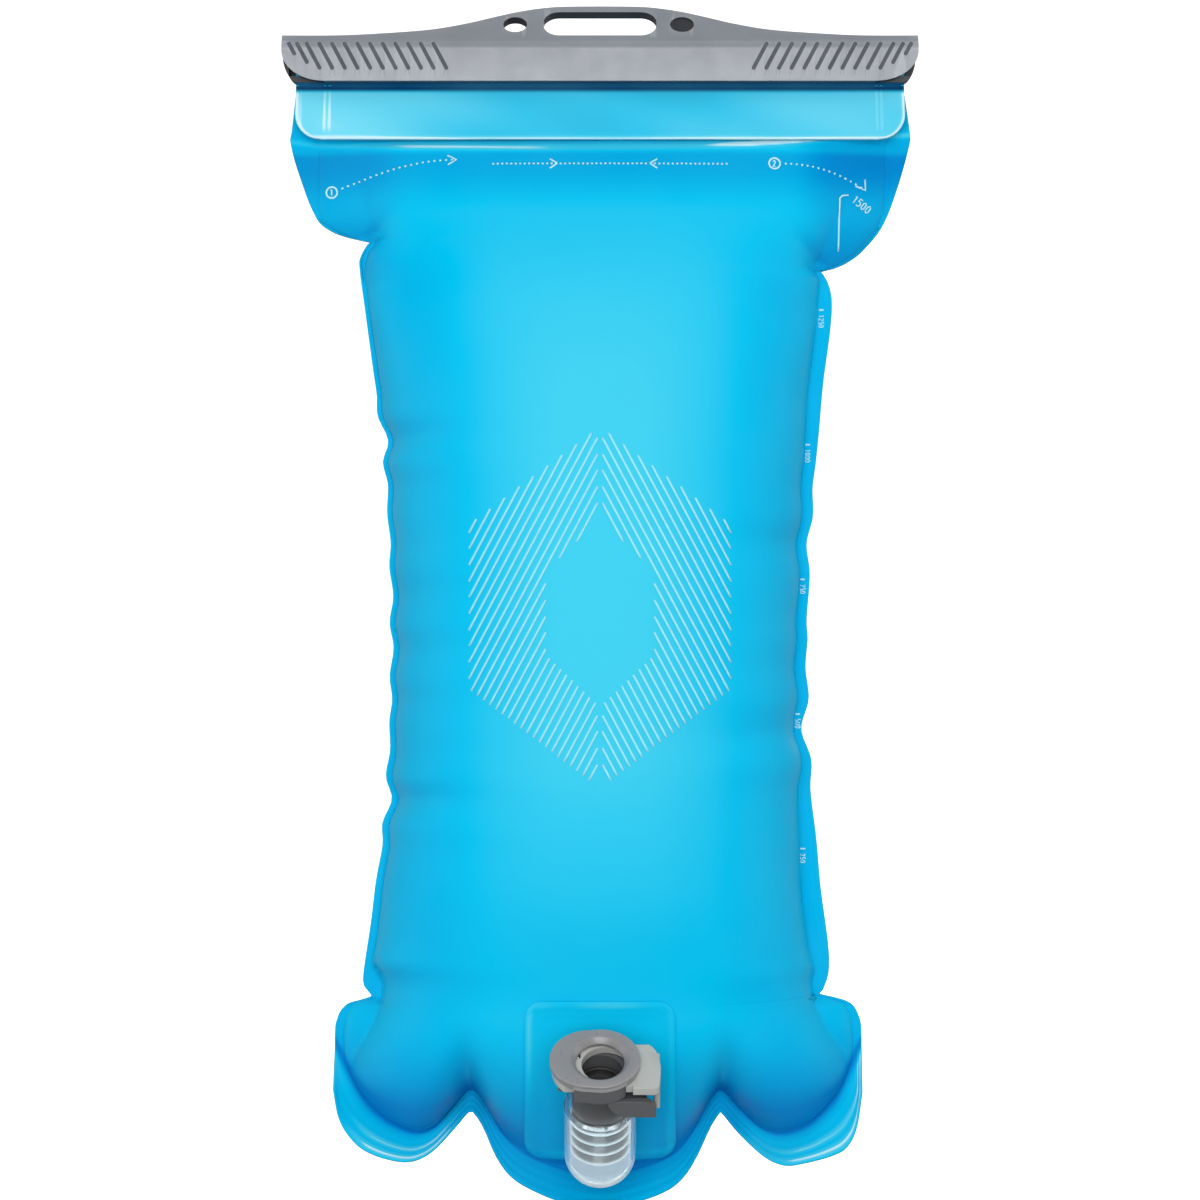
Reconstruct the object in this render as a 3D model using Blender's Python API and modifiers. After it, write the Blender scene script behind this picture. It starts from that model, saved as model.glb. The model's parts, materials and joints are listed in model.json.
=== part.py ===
"""Hydration bladder: a filled welded-film bag, its fold-and-slide closure and its quick-release outlet.

Metres, +Z up, the bag hangs along Z and faces -Y. Every piece is drawn in the bag's own frame,
whose Y = 0 is the plane of the side welds, under an empty that puts the origin at the middle of the
hang slot's upper face. The outlet coupling is drawn in a second, tilted frame along its own axis.
"""
import math

import bmesh
import bpy
from mathutils import Matrix, Vector

MM = 0.001
GAP = 0.3                     # clearance between touching pieces, mm

# Slide bar: a C channel whose front wall runs up into a leaning handle plate (mm)
BAR_HALF = 89.3
WALL_FRONT_Y = -5.5
WALL_REAR_Y = 5.5
BAR_BOTTOM_Z = -19.5
CHANNEL_TOP_Z = -6.4
FRONT_WALL_TOP_Z = -10.5
PLATE_TILT = math.radians(43)
PLATE_BEND = 4.0              # radius of the bend between the front wall and the handle plate
PLATE_THICK = 2.3
PLATE_REACH = 15.0            # plate length up the slope at the middle of the bar
PLATE_REACH_END = 1.85
CAVITY_HALF = 3.75
CAVITY_FLOOR_Z = -17.8
CAVITY_TOP_Z = -8.2
CAVITY_CHAMFER = 1.5
THROAT_HALF = 2.0
STOP_WALL = 1.8
SLOT_WIDTH = 31.8
SLOT_HIGH = 12.35             # upper edge of the hang slot, measured up the plate
SLOT_LOW = 1.85
SLOT_CORNER = 4.6
EYE_REACH = 6.7               # height of the lanyard eye and the dimple up the plate
LANYARD_X = -23.9
EYE_RADIUS = 3.35
DIMPLE_X = 23.1
DIMPLE_DEPTH = 0.4
FRONT_CORNER_REACH = 12.0     # how far along the bar its lower front corners are cut away
REAR_CORNER_REACH = 3.7
CORNER_TOP_Z = -11.0
GROOVE_COUNT = 13
GROOVE_PITCH = 3.55
GROOVE_FIRST_X = 42.8
GROOVE_LEAN = math.radians(28)
GROOVE_HIGH_Z = -9.0
GROOVE_LOW_Z = -16.4
GROOVE_LAST_LOW_Z = (-14.8, -12.4)
GROOVE_WIDTH = 1.1
GROOVE_DEPTH = 0.45

# Welded film (mm)
FILM = 0.6
LAYER = FILM + GAP            # pitch of stacked film layers
FOLD_HALF = 85.5              # half width of the film in the closure
RAIL_RADIUS = 1.5
RAIL_TOP_Z = -12.2            # centre of the rail's upper rounding
RAIL_LOW_Z = -14.6
THROAT_Z = -17.2
FLAP_TOP_Z = -20.95
FLAP_BOTTOM_Z = -36.0
FLAP_CORNER = 7.5
WELD = 6.0                    # side weld as seen on the filled bag
CORNER_Z = -279.0             # top edge of the lower corner lobes
BOTTOM_SEAM_Z = -323.5

# Side edges of the filled bag as (z, half width), shoulder to lower corner (mm)
LEFT_EDGE = [(-21, 85.5), (-33, 86.8), (-36, 87.2), (-45, 84.8), (-58, 79.4), (-62.5, 72.7), (-66, 66.2),
             (-70, 68.2), (-95, 65.3), (-119, 60.3), (-144, 60), (-170, 58.6), (-200, 59.3), (-228, 61.7),
             (-257, 65.3), (-271, 66.8), (-277, 64.2), (-280, 72.9), (-285, 74.4), (-310, 74.5)]
RIGHT_EDGE = [(-21, 85.5), (-33, 87.2), (-36, 87.3), (-49, 83.7), (-60, 79.2), (-67, 72.9), (-72, 63.8),
              (-77, 65.3), (-109, 62.5), (-130, 60.8), (-151, 58.4), (-193, 58.7), (-201, 57), (-214, 59.4),
              (-242, 62), (-264, 64.5), (-271, 64.2), (-277, 62.4), (-280, 72), (-285, 73.4), (-310, 73)]
# Bottom edge as (x, z): corner lobe, notch, middle lobe, notch, corner lobe (mm)
BOTTOM_EDGE = [(-74.5, -302), (-73, -309), (-70, -314), (-65.5, -317.8), (-58, -320.3), (-52, -320.6),
               (-46.5, -318), (-40.5, -312), (-36, -307.8), (-32.5, -312), (-29, -319.4), (-25, -324.5),
               (-19, -328), (-10, -331.2), (0, -332.9), (9.5, -331.2), (19, -328), (23.5, -324.5),
               (27, -319.4), (30.5, -312.5), (33.7, -308.2), (38.5, -313.2), (45.6, -319.4), (54, -321.5),
               (65, -319.6), (70, -314.5), (72.5, -307), (73.5, -301)]
# Half depth of the bag along its middle, as (z, depth) (mm)
DEPTH = [(-21, 0), (-28, 1.2), (-36, 4.2), (-60, 17.5), (-90, 29), (-130, 37), (-200, 40), (-245, 39),
         (-279, 34.5), (-340, 34.5)]
BULGE_POWER = 2.4
BOTTOM_SWEEP = 14.0           # how far the bottom seam curls towards the front

# Outlet (mm). The neck rises from the front of the bag at this angle above the horizontal.
OUTLET_CENTRE = (0, -60, -286.3)
OUTLET_TILT = math.radians(39.2)
PATCH_HALF = 20.0
PATCH_TOP_Z = -274.0
PATCH_BOTTOM_Z = -318.0
PATCH_THICK = 1.2
PATCH_CORNER = 4.5
NECK_RADIUS = 9.7
NECK_BORE = 8.3
NECK_MOUTH = -18.0            # along the coupling's own axis, below the cap's top face
NECK_END = -36.7
STUB_RADIUS = 8.5
STUB_BORE = 6.3
STUB_REACH = 13.2             # from the neck's end sphere to the inner face of the inside flange
FLANGE_RADIUS = 11.0
FLANGE_THICK = 1.2
CAP_RADIUS = 10.7
CAP_REAR = 3.0                # how far left the cap's second, smaller circle lies
CAP_REAR_RADIUS_LESS = 0.3
CAP_THICK = 2.2
CAP_MOUTH = 7.75              # the socket's countersunk mouth
CAP_BORE = 6.5
POST_HALF = 6.8               # half width of the cap's front and rear posts
POST_INNER = 8.0
POST_LOW = -6.4
BUTTON_TOP = -2.5
BUTTON_LOW = -4.9
BUTTON_HALF = 7.7             # half width of the button where it runs between the posts
BUTTON_BORE = 6.5
BUTTON_OFFSET = 1.6
PAD_LOW = -11.5
SPRING_PLACE = 3.6            # the latch springs' distance either side of the middle
SPRING_LENGTH = 3.6
LATCH_SPRING_X = -9.15        # the face of the peg that the latch springs push on
PEG_X = (-10.5, -9.3)
ARM_X = (-11.2, -7.0)
ARM_HALF = 5.2
WINDOW_X = (-10.8, -5.2)
WINDOW_HALF = 1.3
BODY_TOP = -5.2
SHOULDER_Z = -6.7
SHOULDER_RADIUS = 8.8
BARREL_RADIUS = 7.6
NECK_TOP_RADIUS = 7.7         # the barrel between its shoulder and the button
SOCKET_RADIUS = 6.2
GROOVE_RADIUS = 7.0           # the socket's O-ring groove
GROOVE_TOP = -9.8
GROOVE_LOW = -11.2
RECESS_RADIUS = 6.9           # where the barbed stem's head sits
LUG_X = (6.4, 12.5)
LUG_Y = (-8.6, -1.5)
LUG_Z = (-12.8, -7.2)
LUG_CORNER = 2.6
SEAT_TOP = -13.0
SEAT_LOW = -15.0
SEAT_RADIUS = 3.8
STEM_BORE = 5.6
BARB_PITCH = 4.2
BARB_COUNT = 3
STEM_END = -32.0
ROUND = 28                    # sides on round coupling pieces


# ---------------------------------------------------------------- tools

def clear_scene():
    for old in list(bpy.data.objects):
        bpy.data.objects.remove(old, do_unlink=True)


def collection(name):
    made = bpy.data.collections.new(name)
    bpy.context.scene.collection.children.link(made)
    return made


def material(name, colour, roughness, metallic=0.0, alpha=1.0):
    made = bpy.data.materials.new(name)
    made.use_nodes = True
    shader = made.node_tree.nodes["Principled BSDF"]
    shader.inputs["Base Color"].default_value = (*colour, 1)
    shader.inputs["Roughness"].default_value = roughness
    shader.inputs["Metallic"].default_value = metallic
    shader.inputs["Alpha"].default_value = alpha
    return made


def curve_value(points, at):
    """Smooth (Catmull-Rom) value at a place along a list of (place, value) points."""
    points = sorted(points)
    at = min(max(at, points[0][0]), points[-1][0])
    i = max(k for k in range(len(points) - 1) if points[k][0] <= at)

    def slope(k):
        low, high = points[max(k - 1, 0)], points[min(k + 1, len(points) - 1)]
        return (high[1] - low[1]) / (high[0] - low[0])

    (x0, y0), (x1, y1) = points[i], points[i + 1]
    span = x1 - x0
    t = (at - x0) / span
    return (y0 * (2 * t**3 - 3 * t**2 + 1) + slope(i) * span * (t**3 - 2 * t**2 + t)
            + y1 * (3 * t**2 - 2 * t**3) + slope(i + 1) * span * (t**3 - t**2))


def finish(name, bm, home, parent, look=None):
    """Makes the named object from a bmesh drawn in millimetres."""
    bmesh.ops.scale(bm, vec=(MM, MM, MM), verts=bm.verts)
    bmesh.ops.recalc_face_normals(bm, faces=bm.faces)
    mesh = bpy.data.meshes.new(name)
    bm.to_mesh(mesh)
    bm.free()
    made = bpy.data.objects.new(name, mesh)
    home.objects.link(made)
    made.parent = parent
    if look:
        mesh.materials.append(look)
        mesh.shade_smooth()
        mesh.set_sharp_from_angle(angle=math.radians(35))
    else:
        made.hide_render = True
        made.display_type = "WIRE"
    return made


def combine(target, cutter, operation="DIFFERENCE"):
    step = target.modifiers.new(cutter.name, "BOOLEAN")
    step.operation = operation
    step.object = cutter
    return step


def round_edges(target, width, segments=2, angle=50):
    step = target.modifiers.new("rounded edges", "BEVEL")
    step.width = width * MM
    step.segments = segments
    step.limit_method = "ANGLE"
    step.angle_limit = math.radians(angle)


def prism(outline, low, high, place):
    """A bmesh prism: place(a, b, h) turns an outline point and a height into a vector."""
    bm = bmesh.new()
    base = bm.faces.new([bm.verts.new(place(a, b, low)) for a, b in outline])
    out = bmesh.ops.extrude_face_region(bm, geom=[base])
    moved = [v for v in out["geom"] if isinstance(v, bmesh.types.BMVert)]
    for vert, (a, b) in zip(moved, outline):
        vert.co = place(a, b, high)
    return bm


def along_x(y, z, x):
    return Vector((x, y, z))


def along_z(x, y, z):
    return Vector((x, y, z))


def circle(radius, x=0.0, y=0.0, sides=ROUND, start=0.0, turn=2 * math.pi):
    whole = turn > 6.28
    count = sides if whole else sides + 1
    angles = [start + turn * k / sides for k in range(count)]
    return [(x + radius * math.cos(a), y + radius * math.sin(a)) for a in angles]


def rounded_rectangle(x0, x1, y0, y1, radius, sides=4):
    quarter = math.pi / 2
    corners = [(x1 - radius, y1 - radius), (x0 + radius, y1 - radius),
               (x0 + radius, y0 + radius), (x1 - radius, y0 + radius)]
    return [point for k, (x, y) in enumerate(corners)
            for point in circle(radius, x, y, sides, k * quarter, quarter)]


def turned(profile, sides=ROUND):
    """A (radius, z) profile turned about Z: a ring if it stays off the axis, a solid if it ends on it."""
    bm = bmesh.new()
    verts = [bm.verts.new((r, 0, z)) for r, z in profile]
    first = 1 if profile[0][0] == 0 else 0
    edges = [bm.edges.new((verts[k - 1], verts[k])) for k in range(first, len(verts))]
    bmesh.ops.spin(bm, geom=verts + edges, cent=(0, 0, 0), axis=(0, 0, 1), angle=2 * math.pi,
                   steps=sides, use_merge=True)
    bmesh.ops.remove_doubles(bm, verts=bm.verts, dist=0.001)
    return bm


def grid(columns, rows, place):
    """A sheet of quads, bent by place(column, row) from Blender's own grid."""
    bm = bmesh.new()
    bmesh.ops.create_grid(bm, x_segments=len(columns) - 1, y_segments=len(rows) - 1, size=0.5)
    for vert in bm.verts:
        i = round((vert.co.x + 0.5) * (len(columns) - 1))
        j = round((vert.co.y + 0.5) * (len(rows) - 1))
        vert.co = place(columns[i], rows[j])
    return bm


def thicken(target, thickness):
    step = target.modifiers.new("film thickness", "SOLIDIFY")
    step.thickness = thickness * MM
    step.offset = 0.0


def coil(name, radius, wire, length, turns, home, parent, look, spin):
    """A compression spring along its own Z from 0 to length, as a tube round a helix."""
    steps = 8
    curve = bpy.data.curves.new(name, "CURVE")
    curve.dimensions = "3D"
    curve.bevel_depth = wire * MM
    curve.bevel_resolution = 2
    curve.use_fill_caps = True
    line = curve.splines.new("POLY")
    count = turns * steps
    line.points.add(count)
    for k in range(count + 1):
        angle = 2 * math.pi * k / steps
        height = wire + (length - 2 * wire) * k / count
        line.points[k].co = (radius * math.cos(angle) * MM, radius * math.sin(angle) * MM, height * MM, 1)
    curve.materials.append(look)
    made = bpy.data.objects.new(name, curve)
    home.objects.link(made)
    made.parent = parent
    made.matrix_local = spin
    return made


# ---------------------------------------------------------------- slide bar

def plate_point(reach, depth=0.0):
    """(y, z) on the handle plate: reach up its front face, depth into its thickness."""
    foot_y = WALL_FRONT_Y + PLATE_BEND * (1 - math.cos(PLATE_TILT))
    foot_z = FRONT_WALL_TOP_Z + PLATE_BEND * math.sin(PLATE_TILT)
    up, across = math.cos(PLATE_TILT), math.sin(PLATE_TILT)
    return foot_y + reach * across + depth * up, foot_z + reach * up - depth * across


def plate_reach(x):
    """Length of the handle plate at x: a level crown that sweeps down into the bar's ends."""
    sweep = [(0, PLATE_REACH), (11, 14.8), (16, 14.2), (22.4, 12.7), (29.9, 10.1), (37, 7.4), (47, 4.6),
             (60, 2.9), (74, PLATE_REACH_END), (95, PLATE_REACH_END)]
    return curve_value(sweep, abs(x))


def bar_section(x):
    """Closed (y, z) section of the bar at x, without its channel."""
    front = plate_point(plate_reach(x))
    rear = plate_point(plate_reach(x), PLATE_THICK)
    kept = min(1.0, max(0.1, (front[1] - CHANNEL_TOP_Z) / (front[1] - rear[1])))
    rear = tuple(f + (r - f) * kept for f, r in zip(front, rear))
    root = plate_point(0, PLATE_THICK)
    root_y = root[0] + (CHANNEL_TOP_Z - root[1]) * math.tan(PLATE_TILT)
    bend = [(WALL_FRONT_Y + PLATE_BEND * (1 - math.cos(a)), FRONT_WALL_TOP_Z + PLATE_BEND * math.sin(a))
            for a in (PLATE_TILT * k / 4 for k in range(4, -1, -1))]
    return [(WALL_FRONT_Y + 0.5, BAR_BOTTOM_Z), (WALL_REAR_Y - 0.5, BAR_BOTTOM_Z),
            (WALL_REAR_Y, BAR_BOTTOM_Z + 0.5), (WALL_REAR_Y, CHANNEL_TOP_Z - 1.2),
            (WALL_REAR_Y - 1.2, CHANNEL_TOP_Z), (root_y, CHANNEL_TOP_Z), rear, front,
            *bend, (WALL_FRONT_Y, BAR_BOTTOM_Z + 0.5)]


def corner_cutter(side, reach, y_low, y_high, cutters, parent):
    """What lies outside a rounded lower corner, between two depths."""
    high = CORNER_TOP_Z
    x0 = BAR_HALF - reach
    arc = [(x0 + reach * math.sin(a), high - (high - BAR_BOTTOM_Z) * math.cos(a))
           for a in (math.pi / 2 * k / 10 for k in range(11))]
    arc[0] = (x0, BAR_BOTTOM_Z - 0.01)
    arc[-1] = (BAR_HALF + 0.01, high)
    outline = arc + [(BAR_HALF + 5, high), (BAR_HALF + 5, BAR_BOTTOM_Z - 5), (x0, BAR_BOTTOM_Z - 5)]
    bm = prism(outline, y_low, y_high, lambda x, z, y: Vector((side * x, y, z)))
    return finish("corner cutter", bm, cutters, parent)


def plate_place(x, reach, depth):
    y, z = plate_point(reach, depth)
    return Vector((x, y, z))


def slide_bar(parts, cutters, parent, look):
    stations = [BAR_HALF * s for s in (-1, -0.99, -0.83)]
    stations += [-67.0 + 134.0 * k / 38 for k in range(39)]
    stations += [BAR_HALF * s for s in (0.83, 0.99, 1)]
    bm = bmesh.new()
    rings = []
    for x in stations:
        shrink = 0.6 if abs(x) > 0.995 * BAR_HALF else 0.0
        section = [(y + shrink * (y < WALL_FRONT_Y + 0.1), z) for y, z in bar_section(x)]
        rings.append([bm.verts.new((x, y, z)) for y, z in section])
    for before, after in zip(rings, rings[1:]):
        for k in range(len(before)):
            bm.faces.new((before[k - 1], before[k], after[k], after[k - 1]))
    bm.faces.new(rings[0])
    bm.faces.new(list(reversed(rings[-1])))
    bar = finish("slide_bar", bm, parts, parent, look)

    channel = [(-THROAT_HALF, BAR_BOTTOM_Z - 5), (THROAT_HALF, BAR_BOTTOM_Z - 5),
               (THROAT_HALF, CAVITY_FLOOR_Z), (CAVITY_HALF, CAVITY_FLOOR_Z),
               (CAVITY_HALF, CAVITY_TOP_Z - CAVITY_CHAMFER),
               (CAVITY_HALF - CAVITY_CHAMFER, CAVITY_TOP_Z), (CAVITY_CHAMFER - CAVITY_HALF, CAVITY_TOP_Z),
               (-CAVITY_HALF, CAVITY_TOP_Z - CAVITY_CHAMFER), (-CAVITY_HALF, CAVITY_FLOOR_Z),
               (-THROAT_HALF, CAVITY_FLOOR_Z)]
    channel_bm = prism(channel, STOP_WALL - BAR_HALF, BAR_HALF + 5, along_x)
    combine(bar, finish("channel cutter", channel_bm, cutters, parent))

    slot = rounded_rectangle(-SLOT_WIDTH / 2, SLOT_WIDTH / 2, SLOT_LOW, SLOT_HIGH, SLOT_CORNER)
    combine(bar, finish("slot cutter", prism(slot, -6, 8, plate_place), cutters, parent))
    eye = circle(EYE_RADIUS, LANYARD_X, EYE_REACH, 20)
    combine(bar, finish("lanyard cutter", prism(eye, -6, 8, plate_place), cutters, parent))
    dimple = circle(EYE_RADIUS, DIMPLE_X, EYE_REACH, 20)
    combine(bar, finish("dimple cutter", prism(dimple, -2, DIMPLE_DEPTH, plate_place), cutters, parent))

    for side in (-1, 1):
        combine(bar, corner_cutter(side, FRONT_CORNER_REACH, -9, -THROAT_HALF - 0.2, cutters, parent))
        combine(bar, corner_cutter(side, REAR_CORNER_REACH, THROAT_HALF + 0.2, 9, cutters, parent))
    combine(bar, groove_cutter(cutters, parent))
    return bar


def groove_cutter(cutters, parent):
    """Thumb grooves: slanted bars that dip into the front wall, all in one cutter."""
    bm = bmesh.new()
    lows = [GROOVE_LOW_Z] * (GROOVE_COUNT - 2) + list(GROOVE_LAST_LOW_Z)
    for side in (-1, 1):
        for k, low in enumerate(lows):
            x = GROOVE_FIRST_X + GROOVE_PITCH * k
            length = (GROOVE_HIGH_Z - low) / math.cos(GROOVE_LEAN)
            turn = Matrix.Rotation(side * GROOVE_LEAN, 4, "Y")
            place = Matrix.Translation((side * x, WALL_FRONT_Y, low)) @ turn
            size = Matrix.Diagonal((GROOVE_WIDTH, 2 * GROOVE_DEPTH, length, 1))
            bmesh.ops.create_cube(bm, size=1.0, matrix=place @ Matrix.Translation((0, 0, length / 2)) @ size)
    return finish("groove cutter", bm, cutters, parent)


# ---------------------------------------------------------------- film

def side_x(side, z):
    return curve_value(LEFT_EDGE if side < 0 else RIGHT_EDGE, z)


def seam_y(x, z):
    """The plane of the welds: flat up the sides, curling forward along the bottom."""
    if z > -60:
        return 0.9 * (z + 60) / 39
    low = min(max((CORNER_Z - z) / (CORNER_Z - BOTTOM_SEAM_Z), 0), 1.25)
    return -BOTTOM_SWEEP * low**1.6


def film_y(face, x, z, bottom_z):
    """Depth of a film layer's middle surface: face is -1 for the front film and 1 for the back."""
    inner = side_x(math.copysign(1, x), z) - WELD
    across = min(abs(x) / inner, 1)
    bulge = (1 - across**BULGE_POWER) ** 0.5
    down = 0.0
    if z < CORNER_Z:
        down = min((CORNER_Z - z) / (CORNER_Z - bottom_z - WELD * 1.5), 1)
    bulge *= (1 - down**2) ** 0.85
    return seam_y(x, z) + face * (LAYER / 2 + curve_value(DEPTH, z) * bulge)


def bag_point(face, u, row):
    """A point of a film panel: u runs across from -1 to 1, row is z or a step below the corners."""
    side = math.copysign(1, u)
    if row <= 1:                                  # body rows carry z
        z = row
        half = side_x(side, z)
    else:                                         # lobe rows run from 1 at the corners to 2 at the edge
        half = side_x(side, CORNER_Z - 8 * (row - 1))
    inner = half - WELD
    x = side * (abs(u) / 0.9 * inner if abs(u) <= 0.9 else inner + WELD * (abs(u) - 0.9) / 0.1)
    bottom = curve_value(BOTTOM_EDGE, x)
    if row > 1:
        z = CORNER_Z + (bottom - CORNER_Z) * (row - 1)
    return Vector((x, film_y(face, x, z, bottom), z))


def fold_path(layer):
    """(y, z) of a film layer from the flap's hinge, over the rail and down to the throat."""
    throat = LAYER * (layer + 0.5)
    wrap = RAIL_RADIUS + GAP + FILM / 2 + LAYER * layer
    dip = 0.41 * LAYER * layer
    rise = [(throat, -20.6), (throat, THROAT_Z - dip), (wrap, THROAT_Z + 1.6 - dip), (wrap, RAIL_TOP_Z)]
    angles = [math.pi * k / 6 for k in range(1, 6)]
    over = [(wrap * math.cos(a), RAIL_TOP_Z + wrap * math.sin(a)) for a in angles]
    return [(-y, z) for y, z in rise] + [(-y, z) for y, z in over] + [(y, z) for y, z in reversed(rise)]


BODY_ROWS = [-21.5, -28, -36, -45, -54, -60, -64, -67, -71, -76, -86, -98, -110, -122, -136, -150,
             -165, -180, -196, -212, -228, -243, -257, -268, -275, -278.2]
LOBE_ROWS = [1.0001, 1.12, 1.25, 1.4, 1.55, 1.7, 1.82, 2.0]
COLUMNS = [-1, -0.9, -0.84, -0.76, -0.67, -0.58, -0.5, -0.42, -0.33, -0.24, -0.12, 0,
           0.12, 0.24, 0.33, 0.42, 0.5, 0.58, 0.67, 0.76, 0.84, 0.9, 1]


def film_panel(name, face, layer, parts, parent, look):
    fold = fold_path(layer)
    rows = [("fold", p) for p in fold] + [("bag", z) for z in BODY_ROWS + LOBE_ROWS]

    def place(u, row):
        kind, value = row
        if kind == "fold":
            return Vector((u * FOLD_HALF, value[0], value[1]))
        return bag_point(face, u, value)

    panel = finish(name, grid(COLUMNS, rows, place), parts, parent, look)
    thicken(panel, FILM)
    return panel


def mouth_lip(name, layer, parts, parent, look):
    """One film of the mouth that hangs over the front of the bag below the bar."""
    heights = [0, 0.8, 2.4, 4.8, FLAP_CORNER, 11, FLAP_TOP_Z - FLAP_BOTTOM_Z]

    def place(u, up):
        corner = FLAP_CORNER - math.sqrt(max(FLAP_CORNER**2 - max(FLAP_CORNER - up, 0) ** 2, 0))
        fall = 1 - up / (FLAP_TOP_Z - FLAP_BOTTOM_Z)
        y = -LAYER * (layer + 0.5) - 5.1 * fall
        return Vector((u * (FOLD_HALF - corner), y, FLAP_BOTTOM_Z + up))

    lip = finish(name, grid([k / 5 - 1 for k in range(11)], heights, place), parts, parent, look)
    thicken(lip, FILM)
    return lip


def fold_rail(parts, parent, look):
    """The rod inside the fold, which the bar's channel closes round."""
    upper = circle(RAIL_RADIUS, 0, RAIL_TOP_Z, 8, 0, math.pi)
    lower = circle(RAIL_RADIUS, 0, RAIL_LOW_Z, 8, math.pi, math.pi)
    return finish("fold_rail", prism(upper + lower, -FOLD_HALF, FOLD_HALF, along_x), parts, parent, look)


def port_axis():
    """Where the outlet stub leaves the front film, and the film's outward direction there."""
    neck_end = Vector(OUTLET_CENTRE) + Vector((0, -math.sin(OUTLET_TILT), math.cos(OUTLET_TILT))) * NECK_END
    outward = Vector((0, -0.87, -0.493)).normalized()
    return neck_end, outward


def port_patch(parts, cutters, parent, look):
    """The thick rounded square of film welded round the outlet."""
    steps = [k / 6 - 1 for k in range(13)]
    middle = (PATCH_TOP_Z + PATCH_BOTTOM_Z) / 2
    half = (PATCH_TOP_Z - PATCH_BOTTOM_Z) / 2
    stand = FILM / 2 + GAP + PATCH_THICK / 2 + 0.35

    def place(u, v):
        x, z = u * (PATCH_HALF + 1), middle + v * (half + 1)
        return Vector((x, film_y(-1, x, z, curve_value(BOTTOM_EDGE, 0)) - stand * 1.1, z))

    patch = finish("port_patch", grid(steps, steps, place), parts, parent, look)
    thicken(patch, PATCH_THICK)
    outline = rounded_rectangle(-PATCH_HALF, PATCH_HALF, PATCH_BOTTOM_Z, PATCH_TOP_Z, PATCH_CORNER)
    trim = prism(outline, -70, 20, lambda x, z, y: Vector((x, y, z)))
    combine(patch, finish("patch outline", trim, cutters, parent), "INTERSECT")
    return patch


def rod(start, direction, length, radius, sides=24):
    """A bmesh cylinder from a start point along a direction."""
    bm = bmesh.new()
    turn = direction.to_track_quat("Z", "Y").to_matrix().to_4x4()
    place = Matrix.Translation(start + direction * length / 2) @ turn
    bmesh.ops.create_cone(bm, cap_ends=True, segments=sides, radius1=radius, radius2=radius, depth=length,
                          matrix=place)
    return bm


def port_elbow(parts, cutters, parent, outlet_frame, look):
    """The clear neck: a round-ended tube with a stub through the film and a flange inside the bag."""
    neck_end, outward = port_axis()
    inward = -outward

    def round_ended(radius, mouth):
        angles = [math.pi * k / 16 for k in range(9)]
        arc = [(radius * math.sin(a), NECK_END - radius * math.cos(a)) for a in angles]
        return turned([(0, arc[0][1])] + arc[1:] + [(radius, mouth), (0, mouth)], 24)

    elbow = finish("port_elbow", round_ended(NECK_RADIUS, NECK_MOUTH), parts, outlet_frame, look)
    flange_end = STUB_REACH + FLANGE_THICK
    stub = rod(neck_end, inward, flange_end - 0.2, STUB_RADIUS)
    combine(elbow, finish("neck stub", stub, cutters, parent), "UNION")
    disc = rod(neck_end + inward * STUB_REACH, inward, FLANGE_THICK, FLANGE_RADIUS)
    combine(elbow, finish("inside flange", disc, cutters, parent), "UNION")
    bore = round_ended(NECK_BORE, NECK_MOUTH + 5)
    combine(elbow, finish("neck bore", bore, cutters, outlet_frame))
    way_in = rod(neck_end, inward, flange_end + 5, STUB_BORE)
    combine(elbow, finish("stub bore", way_in, cutters, parent))
    return elbow


# ---------------------------------------------------------------- coupling, drawn along its own Z

def cap_outline(radius):
    """Two circles side by side and the straight edges between them."""
    half = ROUND // 2
    return (circle(radius, 0, 0, half, -math.pi / 2, math.pi)
            + circle(radius - CAP_REAR_RADIUS_LESS, -CAP_REAR, 0, half, math.pi / 2, math.pi))


def coupling_cap(parts, cutters, parent, look):
    """The flat ring on top, with a post in front and one behind that stand on the body."""
    cap = finish("coupling_cap", prism(cap_outline(CAP_RADIUS), -CAP_THICK, 0, along_z), parts, parent, look)
    round_edges(cap, 0.6)
    rim = finish("post trim", prism(cap_outline(CAP_RADIUS - 0.1), -9, -0.7, along_z), cutters, parent)
    posts = prism(rounded_rectangle(-POST_HALF, POST_HALF, -12, 12, 0.5, 2), POST_LOW, -0.8, along_z)
    posts = finish("cap posts", posts, cutters, parent)
    between = prism(rounded_rectangle(-12, 12, -POST_INNER, POST_INNER, 0.5, 2), -12, -1.2, along_z)
    combine(posts, finish("between the posts", between, cutters, parent))
    combine(posts, rim, "INTERSECT")
    combine(cap, posts, "UNION")
    bore = turned([(0, 1), (CAP_MOUTH, 1), (CAP_MOUTH, -0.4), (CAP_BORE, -1.5), (CAP_BORE, -9), (0, -9)])
    combine(cap, finish("cap bore", bore, cutters, parent))
    return cap


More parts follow.
